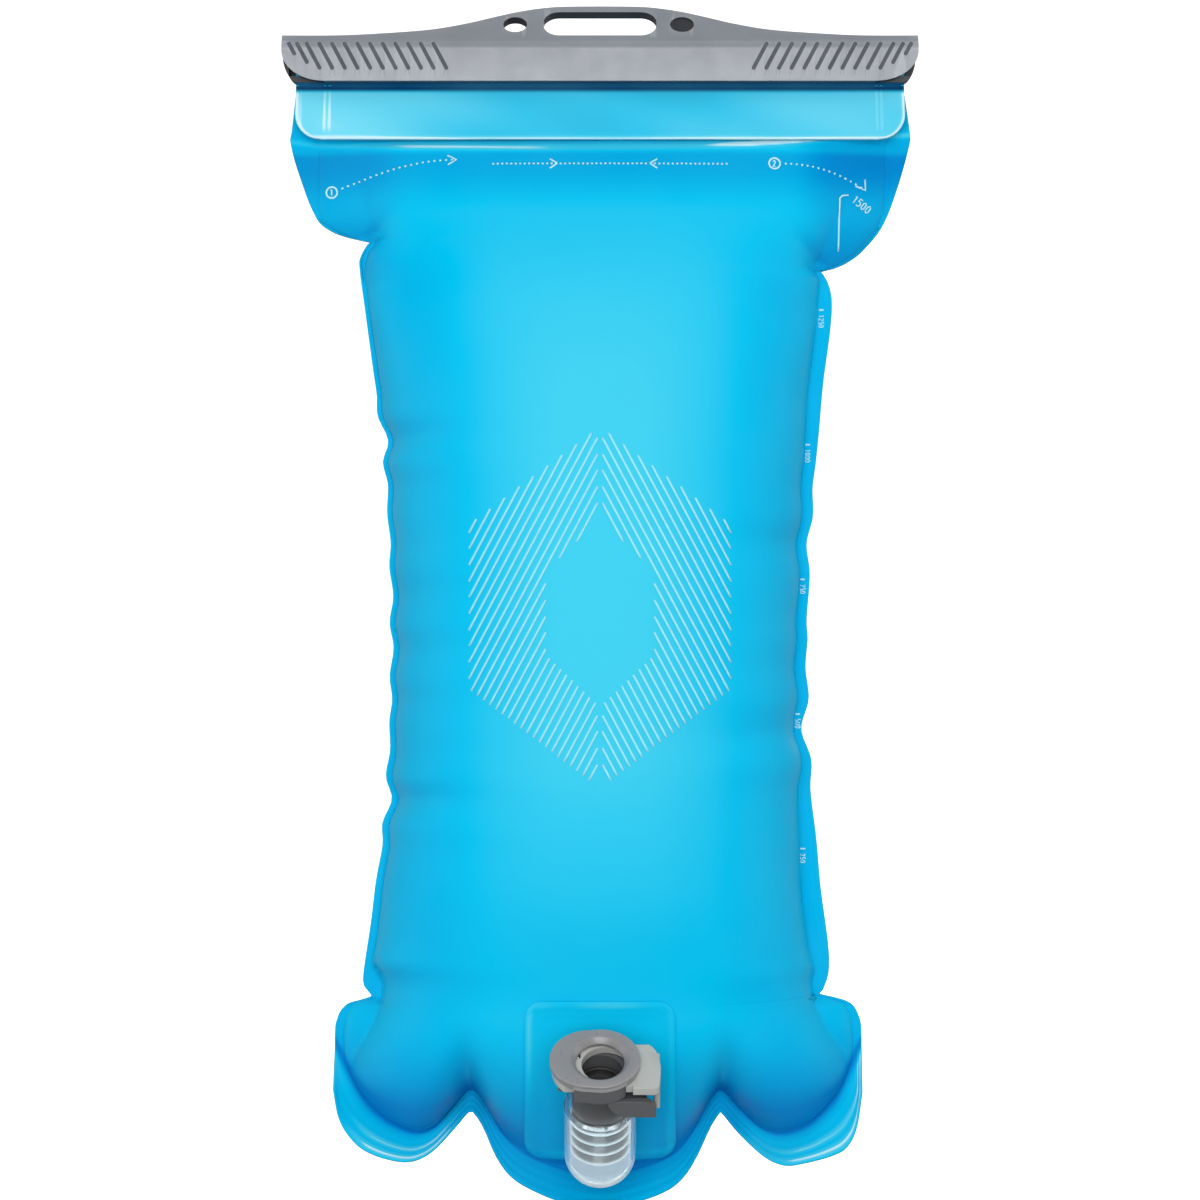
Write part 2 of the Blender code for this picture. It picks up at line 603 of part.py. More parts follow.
def release_button(parts, cutters, parent, look):
    """The latch plate: a tab and thumb pad on the right, an eye round the socket, two spring windows."""
    left = circle(10.2, -2.7, 0, 10, math.pi - 0.855, 1.71)
    tab = [(8.7, -BUTTON_HALF), (8.7, -8.7), (14.2, -8.7), (15.4, -7.6), (16, -4.5), (16.1, -1), (15.8, 2.4),
           (14.8, 5.2), (13.2, 7.3), (8.7, 7.3), (8.0, BUTTON_HALF)]
    outline = left + tab
    button = finish("release_button", prism(outline, BUTTON_LOW, BUTTON_TOP, along_z), parts, parent, look)
    pad = prism(rounded_rectangle(14.3, 15.9, -7.3, 4.6, 0.7, 2), PAD_LOW, BUTTON_TOP - 0.4, along_z)
    combine(button, finish("thumb pad", pad, cutters, parent), "UNION")
    eye = prism(circle(BUTTON_BORE, BUTTON_OFFSET), BUTTON_LOW - 2, BUTTON_TOP + 2, along_z)
    combine(button, finish("latch eye", eye, cutters, parent))
    for side in (-1, 1):
        y = side * SPRING_PLACE
        window = rounded_rectangle(*WINDOW_X, y - WINDOW_HALF, y + WINDOW_HALF, 0.4, 2)
        window = prism(window, BUTTON_LOW - 2, BUTTON_TOP + 2, along_z)
        combine(button, finish("spring window", window, cutters, parent))
    return button


def coupling_body(parts, cutters, parent, look):
    """The barrel with the plug's socket, a shoulder, a thumb lug on the right and two spring pegs."""
    barrel = [(SOCKET_RADIUS, BODY_TOP), (SOCKET_RADIUS, GROOVE_TOP), (GROOVE_RADIUS, GROOVE_TOP),
              (GROOVE_RADIUS, GROOVE_LOW), (SOCKET_RADIUS, GROOVE_LOW), (SOCKET_RADIUS, SEAT_TOP),
              (SEAT_RADIUS, SEAT_TOP), (SEAT_RADIUS, SEAT_LOW), (RECESS_RADIUS, SEAT_LOW),
              (RECESS_RADIUS, NECK_MOUTH + GAP), (BARREL_RADIUS, NECK_MOUTH + GAP),
              (BARREL_RADIUS, SHOULDER_Z - 2.6), (SHOULDER_RADIUS, SHOULDER_Z - 2),
              (SHOULDER_RADIUS, SHOULDER_Z), (NECK_TOP_RADIUS, SHOULDER_Z), (NECK_TOP_RADIUS, BODY_TOP)]
    body = finish("coupling_body", turned(barrel), parts, parent, look)
    (inner, outer), (low, high) = LUG_X, LUG_Z
    corner = circle(LUG_CORNER, outer - LUG_CORNER, high - LUG_CORNER, 5, 0, math.pi / 2)
    lug_outline = [(outer, low)] + corner + [(inner, high), (inner, low)]
    lug = prism(lug_outline, *LUG_Y, lambda x, z, y: Vector((x, y, z)))
    combine(body, finish("thumb lug", lug, cutters, parent), "UNION")
    arm = rounded_rectangle(*ARM_X, -ARM_HALF, ARM_HALF, 0.8, 2)
    arm = prism(arm, BODY_TOP - 2, BODY_TOP - 0.05, along_z)
    combine(body, finish("spring arm", arm, cutters, parent), "UNION")
    for side in (-1, 1):
        y = side * SPRING_PLACE
        peg = prism(rounded_rectangle(*PEG_X, y - 1, y + 1, 0.3, 2), BODY_TOP - 1, BUTTON_TOP - GAP, along_z)
        combine(body, finish("spring peg", peg, cutters, parent), "UNION")
    return body


def barbed_stem(parts, parent, look):
    top = SEAT_LOW - 0.3
    profile = [(STEM_BORE, top - 3.2), (STEM_BORE, top), (6.7, top), (6.7, NECK_MOUTH)]
    for k in range(BARB_COUNT):
        start = NECK_MOUTH - 1.0 - BARB_PITCH * k
        profile += [(6.9, start), (8.0, start - 2.6), (8.0, start - 3.2), (6.9, start - 3.5)]
    profile += [(6.9, STEM_END), (4.9, STEM_END), (4.9, -28.3), (STEM_BORE, -28.3)]
    return finish("barbed_stem", turned(profile), parts, parent, look)


def valve_poppet(parts, parent, look):
    profile = [(0, -10.5), (1.5, -10.5), (1.5, -14.6), (2.6, -15.0), (2.6, -16.9), (5.0, -16.9),
               (5.0, -18.45), (1.2, -18.45), (1.2, -27.5), (0, -27.5)]
    return finish("valve_poppet", turned(profile, 20), parts, parent, look)


def valve_guide(parts, cutters, parent, look):
    profile = [(1.5, -26), (5.3, -26), (5.3, -28), (1.5, -28)]
    guide = finish("valve_guide", turned(profile), parts, parent, look)
    for k in range(4):
        angle = math.pi / 2 * (k + 0.07)
        hole = circle(1.2, 3.45 * math.cos(angle), 3.45 * math.sin(angle), 12)
        combine(guide, finish(f"water way {k}", prism(hole, -30, -24, along_z), cutters, parent))
    return guide


def o_ring(name, radius, section, z, parts, parent, look):
    bm = turned([(radius + a, z + b) for a, b in circle(section, sides=8)], 20)
    return finish(name, bm, parts, parent, look)


def springs(parts, parent, look):
    coil("valve_spring", 3.4, 0.35, 6.6, 4, parts, parent, look, Matrix.Translation((0, 0, -25.7 * MM)))
    for name, y in (("latch_spring_upper", SPRING_PLACE), ("latch_spring_lower", -SPRING_PLACE)):
        start = Matrix.Translation((LATCH_SPRING_X * MM, y * MM, (BUTTON_TOP + BUTTON_LOW) / 2 * MM))
        spin = start @ Matrix.Rotation(math.pi / 2, 4, "Y")
        coil(name, 0.8, 0.16, SPRING_LENGTH, 4, parts, parent, look, spin)


# ---------------------------------------------------------------- assembly

def main():
    clear_scene()
    parts = collection("hydration_bladder")
    cutters = collection("cutters")
    film = material("film", (0.0, 0.6, 0.85), 0.25)
    film_back = material("film back", (0.0, 0.5, 0.8), 0.25)
    lip_film = material("lip film", (0.15, 0.7, 0.9), 0.25)
    grey = material("bar plastic", (0.42, 0.44, 0.48), 0.4)
    rail_plastic = material("rail plastic", (0.8, 0.85, 0.9), 0.4)
    clear = material("clear neck", (0.8, 0.88, 0.92), 0.1)
    dark = material("coupling plastic", (0.2, 0.2, 0.21), 0.45)
    tab_grey = material("button plastic", (0.5, 0.5, 0.47), 0.45)
    stem_grey = material("stem plastic", (0.55, 0.57, 0.58), 0.4)
    rubber = material("seal rubber", (0.03, 0.03, 0.03), 0.7)
    steel = material("spring steel", (0.6, 0.6, 0.6), 0.25, 1.0)

    bag_frame = bpy.data.objects.new("bag_frame", None)
    parts.objects.link(bag_frame)
    hang_y, hang_z = plate_point(SLOT_HIGH, PLATE_THICK / 2)
    bag_frame.location = (0, -hang_y * MM, -hang_z * MM)
    outlet_frame = bpy.data.objects.new("outlet_frame", None)
    parts.objects.link(outlet_frame)
    outlet_frame.parent = bag_frame
    outlet_frame.location = Vector(OUTLET_CENTRE) * MM
    outlet_frame.rotation_euler = (OUTLET_TILT, 0, 0)

    slide_bar(parts, cutters, bag_frame, grey)
    fold_rail(parts, bag_frame, rail_plastic)
    front = film_panel("front_panel", -1, 0, parts, bag_frame, film)
    film_panel("back_panel", 1, 1, parts, bag_frame, film_back)
    mouth_lip("mouth_lip_inner", 0, parts, bag_frame, lip_film)
    mouth_lip("mouth_lip_outer", 1, parts, bag_frame, lip_film)
    patch = port_patch(parts, cutters, bag_frame, lip_film)
    neck_end, outward = port_axis()
    hole_rod = rod(neck_end - outward * 20, outward, 22, STUB_RADIUS + GAP)
    hole = finish("port hole", hole_rod, cutters, bag_frame)
    combine(front, hole)
    combine(patch, hole)
    port_elbow(parts, cutters, bag_frame, outlet_frame, clear)

    coupling_cap(parts, cutters, outlet_frame, dark)
    release_button(parts, cutters, outlet_frame, tab_grey)
    coupling_body(parts, cutters, outlet_frame, dark)
    barbed_stem(parts, outlet_frame, stem_grey)
    valve_poppet(parts, outlet_frame, rail_plastic)
    valve_guide(parts, cutters, outlet_frame, stem_grey)
    o_ring("poppet_o_ring", 4.3, 0.6, -15.95, parts, outlet_frame, rubber)
    o_ring("socket_o_ring", 6.15, 0.55, -10.5, parts, outlet_frame, rubber)
    springs(parts, outlet_frame, steel)
    bpy.context.view_layer.update()


main()
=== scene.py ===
"""Looks for the hydration bladder: welded film, slide bar, outlet coupling, print and studio.

Shapes are drawn in millimetres in the bag's own frame, as in the CAD source: X to the right, -Y towards
the viewer, Z up, Y = 0 in the plane of the side welds. The outlet's pieces are drawn along their own axis.
BAG_FRAME and OUTLET_FRAME turn both into the row frame's metres.
"""

import json
import math

import bmesh
import bpy
import numpy as np
from mathutils import Matrix, Vector
from mathutils.bvhtree import BVHTree


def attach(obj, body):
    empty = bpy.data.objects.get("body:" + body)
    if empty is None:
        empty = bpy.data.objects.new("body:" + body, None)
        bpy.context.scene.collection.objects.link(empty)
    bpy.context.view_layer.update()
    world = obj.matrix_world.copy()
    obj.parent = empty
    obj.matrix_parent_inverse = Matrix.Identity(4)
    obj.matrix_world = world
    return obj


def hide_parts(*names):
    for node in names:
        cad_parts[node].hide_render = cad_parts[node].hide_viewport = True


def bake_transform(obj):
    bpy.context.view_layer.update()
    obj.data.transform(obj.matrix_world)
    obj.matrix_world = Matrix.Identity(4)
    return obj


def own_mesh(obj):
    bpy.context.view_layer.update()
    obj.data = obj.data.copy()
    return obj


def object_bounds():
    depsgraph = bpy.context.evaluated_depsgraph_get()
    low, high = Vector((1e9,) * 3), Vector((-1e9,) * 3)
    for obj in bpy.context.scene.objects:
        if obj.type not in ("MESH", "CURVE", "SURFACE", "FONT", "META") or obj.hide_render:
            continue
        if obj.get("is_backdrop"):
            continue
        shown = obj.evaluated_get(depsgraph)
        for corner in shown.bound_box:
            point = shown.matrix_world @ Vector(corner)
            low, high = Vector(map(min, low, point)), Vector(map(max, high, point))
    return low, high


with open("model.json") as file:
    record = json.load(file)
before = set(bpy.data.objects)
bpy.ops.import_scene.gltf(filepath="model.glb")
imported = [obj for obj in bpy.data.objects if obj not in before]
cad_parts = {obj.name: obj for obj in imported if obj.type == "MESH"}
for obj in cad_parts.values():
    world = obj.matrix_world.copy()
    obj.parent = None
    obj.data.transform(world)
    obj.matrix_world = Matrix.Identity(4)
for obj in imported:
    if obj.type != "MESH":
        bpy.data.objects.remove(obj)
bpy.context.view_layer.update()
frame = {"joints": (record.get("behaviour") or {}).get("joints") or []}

MM = 0.001
QUARTER = math.pi / 2
TURN = 2 * math.pi

# Where the bag's frame lies in the row frame: the flap's hinge is known in both
HINGE = Vector((0, -1.8, -20.9))
hinge_joint = next(j for j in frame["joints"] if j["name"] == "flap_lift")
BAG_FRAME = Matrix.Translation(Vector(hinge_joint["pos_m"]) - HINGE * MM) @ Matrix.Scale(MM, 4)

OUTLET_CENTRE = Vector((0, -60, -286.3))
OUTLET_TILT = math.radians(39.2)
OUTLET_FRAME = BAG_FRAME @ Matrix.Translation(OUTLET_CENTRE) @ Matrix.Rotation(OUTLET_TILT, 4, "X")

# Slide bar (mm)
BAR_HALF = 89.3
WALL_FRONT_Y = -5.5
WALL_REAR_Y = 5.5
BAR_BOTTOM_Z = -19.5
CHANNEL_TOP_Z = -6.4
FRONT_WALL_TOP_Z = -10.5
PLATE_TILT = math.radians(43)
PLATE_BEND = 4.0
PLATE_THICK = 2.3
PLATE_SWEEP = [(0, 15), (11, 14.8), (16, 14.2), (22.4, 12.7), (29.9, 10.1), (37, 7.4), (47, 4.6), (60, 2.9),
               (74, 1.85), (95, 1.85)]
CAVITY_HALF = 3.75
CAVITY_FLOOR_Z = -17.8
CAVITY_TOP_Z = -8.2
CAVITY_CHAMFER = 1.5
THROAT_HALF = 2.0
STOP_WALL = 1.8
SLOT_HALF = 15.9
SLOT_HIGH = 12.35
SLOT_LOW = 1.85
EYE_REACH = 6.7
EYE_RADIUS = 3.35
LANYARD_X = -23.9
DIMPLE_X = 23.1
GROOVE_COUNT = 13
GROOVE_PITCH = 3.55
GROOVE_FIRST_X = 42.8
GROOVE_LEAN = math.radians(28)
GROOVE_HIGH_Z = -8.6
GROOVE_LOW_Z = [-16.4] * (GROOVE_COUNT - 2) + [-14.8, -12.4]    # the two outermost are shorter
BAR_CORNER_TOP_Z = -11.0

# Film (mm)
FILM = 0.6
LAYER = 0.9
FOLD_HALF = 85.5
FOLD_WELD = 7.6
RAIL_RADIUS = 1.5
RAIL_TOP_Z = -12.2
RAIL_LOW_Z = -14.6
THROAT_Z = -17.2
FLAP_TOP_Z = -20.95
FLAP_BOTTOM_Z = -36.0
FLAP_HALF = 85.5
FLAP_CORNER = 7.5
FLAP_LEAN = 5.1
FLAP_SEAMS = (-77.3, -75.9, 79.0, 77.7)
CORNER_Z = -279.0
LOBE_INNER_EDGE_Z = -289.0    # where the side edge meets the corner lobe's inner weld line
LOBE_OUTER_EDGE_Z = -302.0
BOTTOM_SEAM_Z = -323.5

# Side edges of the filled bag as (z, half width): shoulder, notch, scalloped side, lower corner
LEFT_EDGE = [
    (-21, 85.5), (-33, 86.8), (-36, 87.2), (-45, 84.8), (-58, 79.4), (-61.4, 74.8), (-63, 69.8),
    (-64.1, 64.9), (-65, 65.3), (-67.5, 66.8), (-70.2, 67.6), (-83.3, 66), (-100.5, 63.7), (-107.5, 62.7),
    (-113.1, 62.5), (-120.2, 59.5), (-126.2, 61), (-132.3, 59.6), (-140.6, 59.8), (-149, 58.8),
    (-155.5, 59.2), (-164, 58.1), (-171.4, 59.1), (-178.4, 58), (-186.4, 59.1), (-193, 58.4), (-199, 59.2),
    (-207.4, 59), (-214.7, 60.2), (-221, 58.5), (-227.8, 61.2), (-233.6, 61.1), (-243.3, 62.9),
    (-255.4, 64.4), (-269.9, 66.5), (-273.3, 66.4), (-276.6, 64.3), (-277.6, 66.5), (-278.6, 70.3),
    (-280, 72.7), (-282.5, 73.9), (-285, 74.4), (-310, 74.5),
]
RIGHT_EDGE = [
    (-21, 85.5), (-33, 87.2), (-36, 87.3), (-49, 83.7), (-60, 79.2), (-67, 73.4), (-70, 69.2),
    (-71.6, 65.4), (-72.4, 62.2), (-73.4, 62.7), (-75.8, 64.1), (-80.3, 65.2), (-88.8, 64.8), (-104, 62.8),
    (-117.6, 61.6), (-126.5, 60.7), (-133.5, 59.8), (-141.5, 59.9), (-149, 58.1), (-157.4, 59),
    (-171, 58.1), (-175.6, 58.4), (-184, 57.8), (-192.9, 58.7), (-201.3, 56.6), (-209.8, 59.4),
    (-218, 59.2), (-231.6, 60.8), (-245.7, 62.1), (-262.7, 64.3), (-270, 64.3), (-274.5, 62.8),
    (-276.1, 62), (-277.1, 66), (-278.2, 69.6), (-280, 72), (-285, 73.4), (-310, 73),
]
# Width of the side welds as (z, width)
LEFT_MARGIN = [
    (-21, 7.6), (-36, 8.3), (-45, 5.9), (-54, 2.4), (-58, 1.4), (-66, 1.0), (-76, 1.2), (-100, 1.5),
    (-200, 1.9), (-262, 2.4), (-274, 1.6), (-281, 2.0), (-295, 2.9), (-310, 3),
]
RIGHT_MARGIN = [
    (-21, 5.6), (-36, 7.2), (-49, 3.9), (-57, 1.6), (-72, 1.5), (-80, 4), (-110, 4.3), (-150, 3.2),
    (-195, 3.4), (-202, 2.4), (-230, 5), (-262, 6), (-273, 3), (-281, 2.2), (-295, 2.9), (-310, 3),
]
# How wide the filled body is, where it is narrower than the film, as (z, half width)
LEFT_BODY = [
    (-21, 77.5), (-36, 74), (-50, 67.5), (-59, 64), (-64, 63), (-67, 64.6), (-72, 66), (-262, 66),
    (-270, 61.5), (-276, 61), (-283, 63.5), (-292, 68.5), (-300, 71.4),
]
RIGHT_BODY = [
    (-21, 77.5), (-36, 75), (-50, 70.5), (-62, 65), (-72, 60.4), (-76, 62.4), (-82, 66), (-258, 66),
    (-268, 60), (-276, 59.5), (-283, 62.5), (-292, 68), (-300, 71),
]
# Fullness of the film outside that body, in the shoulders and in the corner lobes, as (z, depth)
LEFT_WING = [
    (-21, 0), (-30, 0.4), (-40, 3.6), (-50, 5), (-56, 4.6), (-61, 2.6), (-64.5, 0), (-273, 0), (-276, 0.8),
    (-279, 5), (-282.5, 8), (-286, 9.6), (-291, 10), (-310, 10),
]
RIGHT_WING = [
    (-21, 0), (-30, 0.4), (-40, 3.6), (-50, 5.4), (-60, 5.8), (-66, 4.6), (-70, 2.4), (-73, 0), (-273, 0),
    (-276, 0.8), (-279, 5), (-282.5, 8), (-286, 9.6), (-291, 10), (-310, 10),
]
# Bottom edge and the weld's inner line as (x, z): corner lobe, notch, middle lobe, notch, corner lobe
BOTTOM_EDGE = [
    (-74.5, -302), (-73, -309), (-70, -314), (-65.5, -317.8), (-58, -320.3), (-52, -320.6), (-46.5, -318),
    (-40.5, -312), (-37.2, -308.3), (-36, -307.6), (-34.8, -308.6), (-32.5, -312), (-29, -319.4),
    (-25, -324.5), (-19, -328), (-10, -331.2), (0, -332.9), (9.5, -331.2), (19, -328), (23.5, -324.5),
    (27, -319.4), (30.5, -312.5), (32.6, -309.2), (33.7, -308), (34.8, -309), (38.5, -313.2),
    (45.6, -319.4), (51, -321.6), (56, -321.2), (65, -319), (69, -316.6), (71.6, -311.5), (73.5, -301),
]
INNER_BOTTOM = [
    (-74.5, -289), (-71.3, -295.4), (-68.5, -300.4), (-65.5, -304.7), (-62, -308), (-58.4, -310.5),
    (-51.2, -313.1), (-46, -311.6), (-41, -306.4), (-36, -301.8), (-32, -306), (-28, -312.4), (-24, -316.6),
    (-19, -319.4), (-10, -322.6), (0, -323.9), (9.5, -322.6), (19, -319.4), (23, -316.6), (26.5, -312),
    (30, -306), (33.7, -302), (38.5, -306.4), (45, -311.8), (51, -313.2), (58, -311), (62.5, -307.2),
    (66.5, -302.6), (70, -296), (73.5, -289),
]
FRONT_DEPTH = [
    (-21, 0), (-28, 0.9), (-33, 1.8), (-36, 3.9), (-39.4, 7.6), (-43, 9.8), (-50, 13.2), (-60, 17.8),
    (-75, 24.4), (-90, 29.2), (-110, 33.8), (-130, 37), (-160, 39.2), (-200, 40), (-245, 39), (-279, 34.5),
    (-340, 34.5),
]
BACK_DEPTH = [
    (-21, 0), (-28, 1.2), (-36, 4.2), (-60, 17.5), (-90, 29), (-130, 37), (-200, 40), (-245, 39),
    (-279, 34.5), (-340, 34.5),
]
# The painted pale patch where light shines through the water, as (z, half width) and (z, strength)
GLOW_HALF = [(0, 52), (-60, 44), (-75, 39), (-110, 30), (-160, 28), (-216, 30), (-340, 36)]
GLOW_LEVEL = [
    (0, 0), (-50, 0), (-66, 0.2), (-85, 0.65), (-112, 1), (-205, 0.95), (-225, 0.6), (-262, 0.2), (-340, 0),
]
BULGE_POWER = 2.4
WELD_LINE_HEIGHT = 0.1
LOW_LINE_HEIGHT = 0.07    # what the weld lines gain along the bottom
BOTTOM_SWEEP = 14.0
# Height of the sharp fold just under the flap, as (x, z)
LEDGE_LINE = [(-87, -36.6), (-76, -37.9), (-40, -39), (0, -39.4), (40, -38), (80, -34.9), (87, -34.6)]
LEDGE_HEIGHT = [(-87, 0.2), (-76, 1.1), (0, 1.0), (40, 1.4), (72, 1.6), (87, 0.2)]
# Puckers pressed into the front film: x, z, direction in degrees, length, width, depth
FRONT_DENTS = [
    (-64.5, -64.4, 48, 9, 1.7, 2.6), (-66, -77, -6, 22, 5, 1.5), (-61, -112, -4, 16, 4, 0.8),
    (-60, -121, 6, 17, 2.6, 1.3), (-59, -134, -8, 14, 3.6, 0.7), (-58, -164, 4, 15, 3, 0.7),
    (-58, -178.5, -4, 15, 3, 0.8), (-58, -193, 3, 12, 3, 0.5), (-59, -221, 8, 20, 2.8, 1.5),
    (-64, -258, -14, 20, 5, 1.0), (61.6, -72.4, 128, 11, 1.9, 2.8), (62, -84, 187, 22, 5, 1.6),
    (60, -110, 176, 18, 5, 0.8), (58, -150, 184, 15, 3, 0.9), (57, -184, 177, 13, 3, 0.6),
    (56.6, -201.5, 186, 21, 2.6, 1.4), (61, -238, 175, 18, 5, 0.7), (60, -272, 150, 14, 3, 1.4),
    (-62, -274, 28, 14, 3, 1.4), (-36, -303, 97, 17, 2.6, 2.6), (33.7, -303, 84, 17, 2.6, 2.6),
]
BACK_DENTS = [
    (-64.5, -64.4, 40, 12, 2.2, 3), (61.6, -72.4, 140, 13, 2.4, 3), (-60, -121, 3, 24, 4, 1.6),
    (57, -201, 178, 26, 4, 1.8), (-59, -178, -5, 20, 5, 1.2), (59, -150, 172, 22, 5, 1.3),
    (-59, -221, 10, 26, 4, 1.7), (-36, -303, 96, 26, 4, 4), (33.7, -303, 86, 26, 4, 4),
    (0, -318, 90, 20, 7, 2.5), (-30, -44, -70, 30, 5, 1.4), (34, -46, 255, 34, 6, 1.6),
]


# ---- tools

def smooth_curve(points, at):
    """Catmull-Rom values along a list of (place, value) points, for a number or an array of places."""
    place, value = np.array(sorted(points), float).T
    at = np.clip(at, place[0], place[-1])
    i = np.clip(np.searchsorted(place, at, side="right") - 1, 0, len(place) - 2)
    low = np.maximum(np.arange(len(place)) - 1, 0)
    high = np.minimum(np.arange(len(place)) + 1, len(place) - 1)
    slope = (value[high] - value[low]) / (place[high] - place[low])
    span = place[i + 1] - place[i]
    t = (at - place[i]) / span
    return (value[i] * (2 * t**3 - 3 * t**2 + 1) + slope[i] * span * (t**3 - 2 * t**2 + t)
            + value[i + 1] * (3 * t**2 - 2 * t**3) + slope[i + 1] * span * (t**3 - t**2))


def smooth_step(low, high, at):
    t = np.clip((at - low) / (high - low), 0, 1)
    return t * t * (3 - 2 * t)


def add_object(name, mesh, look, placed=BAG_FRAME):
    """A named piece from a mesh drawn in millimetres."""
    mesh.transform(placed)
    mesh.materials.append(look)
    mesh.shade_smooth()
    made = bpy.data.objects.new(name, mesh)
    bpy.context.scene.collection.objects.link(made)
    return made


def sheet_mesh(name, points, flip=False):
    """A mesh of quads from an array of points, rows by columns."""
    rows, columns, _ = points.shape
    index = np.arange(rows * columns).reshape(rows, columns)
    corners = [index[:-1, :-1], index[:-1, 1:], index[1:, 1:], index[1:, :-1]]
    quads = np.stack(corners[::-1] if flip else corners, axis=-1).reshape(-1, 4)
    mesh = bpy.data.meshes.new(name)
    mesh.from_pydata(points.reshape(-1, 3).tolist(), [], quads.tolist())
    return mesh


def thicken(target, thickness, offset=0.0):
    step = target.modifiers.new("thickness", "SOLIDIFY")
    step.thickness = thickness * MM
    step.offset = offset


def from_bmesh(name, bm, look, placed):
    bmesh.ops.recalc_face_normals(bm, faces=bm.faces)
    mesh = bpy.data.meshes.new(name)
    bm.to_mesh(mesh)
    bm.free()
    return add_object(name, mesh, look, placed)


def carve(target, placed, operation, tools, look=None):
    """Unites a piece with each bmesh in turn, or cuts it by them. The new faces take the look given."""
    for bm in tools:
        tool = from_bmesh("tool", bm, look or target.data.materials[0], placed)
        step = target.modifiers.new("carve", "BOOLEAN")
        step.operation = operation
        step.material_mode = "TRANSFER"
        step.object = tool
        settle(target)
        bpy.data.objects.remove(tool, do_unlink=True)
    return target


def fit(piece, body, node):
    """Says which body a piece moves with and which CAD solid it stands for, and hides that solid."""
    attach(piece, body)
    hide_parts(node)


def store(target, name, values):
    """Keeps one number for each vertex, for a material to read."""
    made = target.data.attributes.new(name, "FLOAT", "POINT")
    made.data.foreach_set("value", values.astype(np.float32))


def places_in(placed, target):
    """A piece's vertices in the frame it was drawn in, as rows of x, y and z."""
    back = placed.inverted()
    return np.array([back @ v.co for v in target.data.vertices])


def settle(target):
    """Replaces a piece's mesh by the result of its modifiers."""
    bpy.context.view_layer.update()
    shape = target.evaluated_get(bpy.context.evaluated_depsgraph_get())
    mesh = bpy.data.meshes.new_from_object(shape)
    target.modifiers.clear()
    target.data = mesh


def bevel_edges(target, width, segments, angle):
    """Rounds the edges sharper than an angle."""
    step = target.modifiers.new("rounded edges", "BEVEL")
    step.width = width * MM
    step.segments = segments
    step.limit_method = "ANGLE"
    step.angle_limit = math.radians(angle)
    step.miter_outer = "MITER_ARC"
    settle(target)
    target.data.shade_smooth()


def soften(target, width, segments=3, angle=32):
    """Rounds the piece's edges, then shades its flat faces flat."""
    bevel_edges(target, width, segments, angle)
    target.modifiers.new("even normals", "WEIGHTED_NORMAL").weight = 80
    return target


def sharpen(target, angle=30):
    """Keeps a cut piece's corners crisp: its material rounds them."""
    target.data.shade_smooth()
    target.data.set_sharp_from_angle(angle=math.radians(angle))
    even = target.modifiers.new("even normals", "WEIGHTED_NORMAL")
    even.weight = 90
    even.keep_sharp = True


def prism(outline, low, high, place=lambda x, y, z: (x, y, z)):
    """A bmesh prism: place(a, b, h) turns an outline point and a height into a point."""
    bm = bmesh.new()
    base = [bm.verts.new(place(a, b, low)) for a, b in outline]
    top = [bm.verts.new(place(a, b, high)) for a, b in outline]
    bm.faces.new(base)
    bm.faces.new(top[::-1])
    wall(bm, base, top)
    return bm


def wall(bm, before, after):
    """Quads between two closed loops of vertices."""
    for k in range(len(before)):
        bm.faces.new((before[k - 1], after[k - 1], after[k], before[k]))


def upright(x, z, y):
    """For prism: an outline of x and z, drawn out along y."""
    return (x, y, z)


def lengthwise(y, z, x):
    """For prism: an outline of y and z, drawn out along x."""
    return (x, y, z)


def arc(radius, x=0.0, y=0.0, start=0.0, turn=QUARTER, sides=8):
    angles = (start + turn * k / sides for k in range(sides + 1))
    return [(x + radius * math.cos(a), y + radius * math.sin(a)) for a in angles]


def circle(radius, x=0.0, y=0.0, sides=96):
    return arc(radius, x, y, 0, TURN, sides)[:-1]


def rounded_rectangle(x0, x1, y0, y1, radius, sides=8):
    left, right, low, high = x0 + radius, x1 - radius, y0 + radius, y1 - radius
    corners = enumerate([(right, high), (left, high), (left, low), (right, low)])
    return [point for k, (x, y) in corners for point in arc(radius, x, y, k * QUARTER, QUARTER, sides)]


def turned(profile, sides=96):
    """A (radius, z) profile turned about Z: a ring if it stays off the axis, a solid if it ends on it."""
    bm = bmesh.new()
    solid = profile[0][0] == 0
    rings = []
    for k in range(sides):
        c, s = math.cos(TURN * k / sides), math.sin(TURN * k / sides)
        rings.append([bm.verts.new((r * c, r * s, z)) for r, z in profile if r > 0])
    count = len(rings[0])
    last = count - 1 if solid else count
    for before, after in zip(rings, rings[1:] + rings[:1]):
        for k in range(last):
            n = (k + 1) % count
            bm.faces.new((before[k], after[k], after[n], before[n]))
    if solid:
        bm.faces.new([ring[0] for ring in rings])
        bm.faces.new([ring[-1] for ring in rings][::-1])
    return bm


def rod(start, direction, length, radius, sides=96):
    """A round bar from a point, along a direction."""
    bm = bmesh.new()
    turn = direction.to_track_quat("Z", "Y").to_matrix().to_4x4()
    bmesh.ops.create_cone(bm, cap_ends=True, segments=sides, radius1=radius, radius2=radius, depth=length,
                          matrix=Matrix.Translation(start + direction * length / 2) @ turn)
    return bm


def welded(name, points):
    """A bmesh sheet whose edges are joined where they meet."""
    bm = bmesh.new()
    bm.from_mesh(sheet_mesh(name, points))
    bmesh.ops.remove_doubles(bm, verts=bm.verts, dist=0.0001)
    return bm


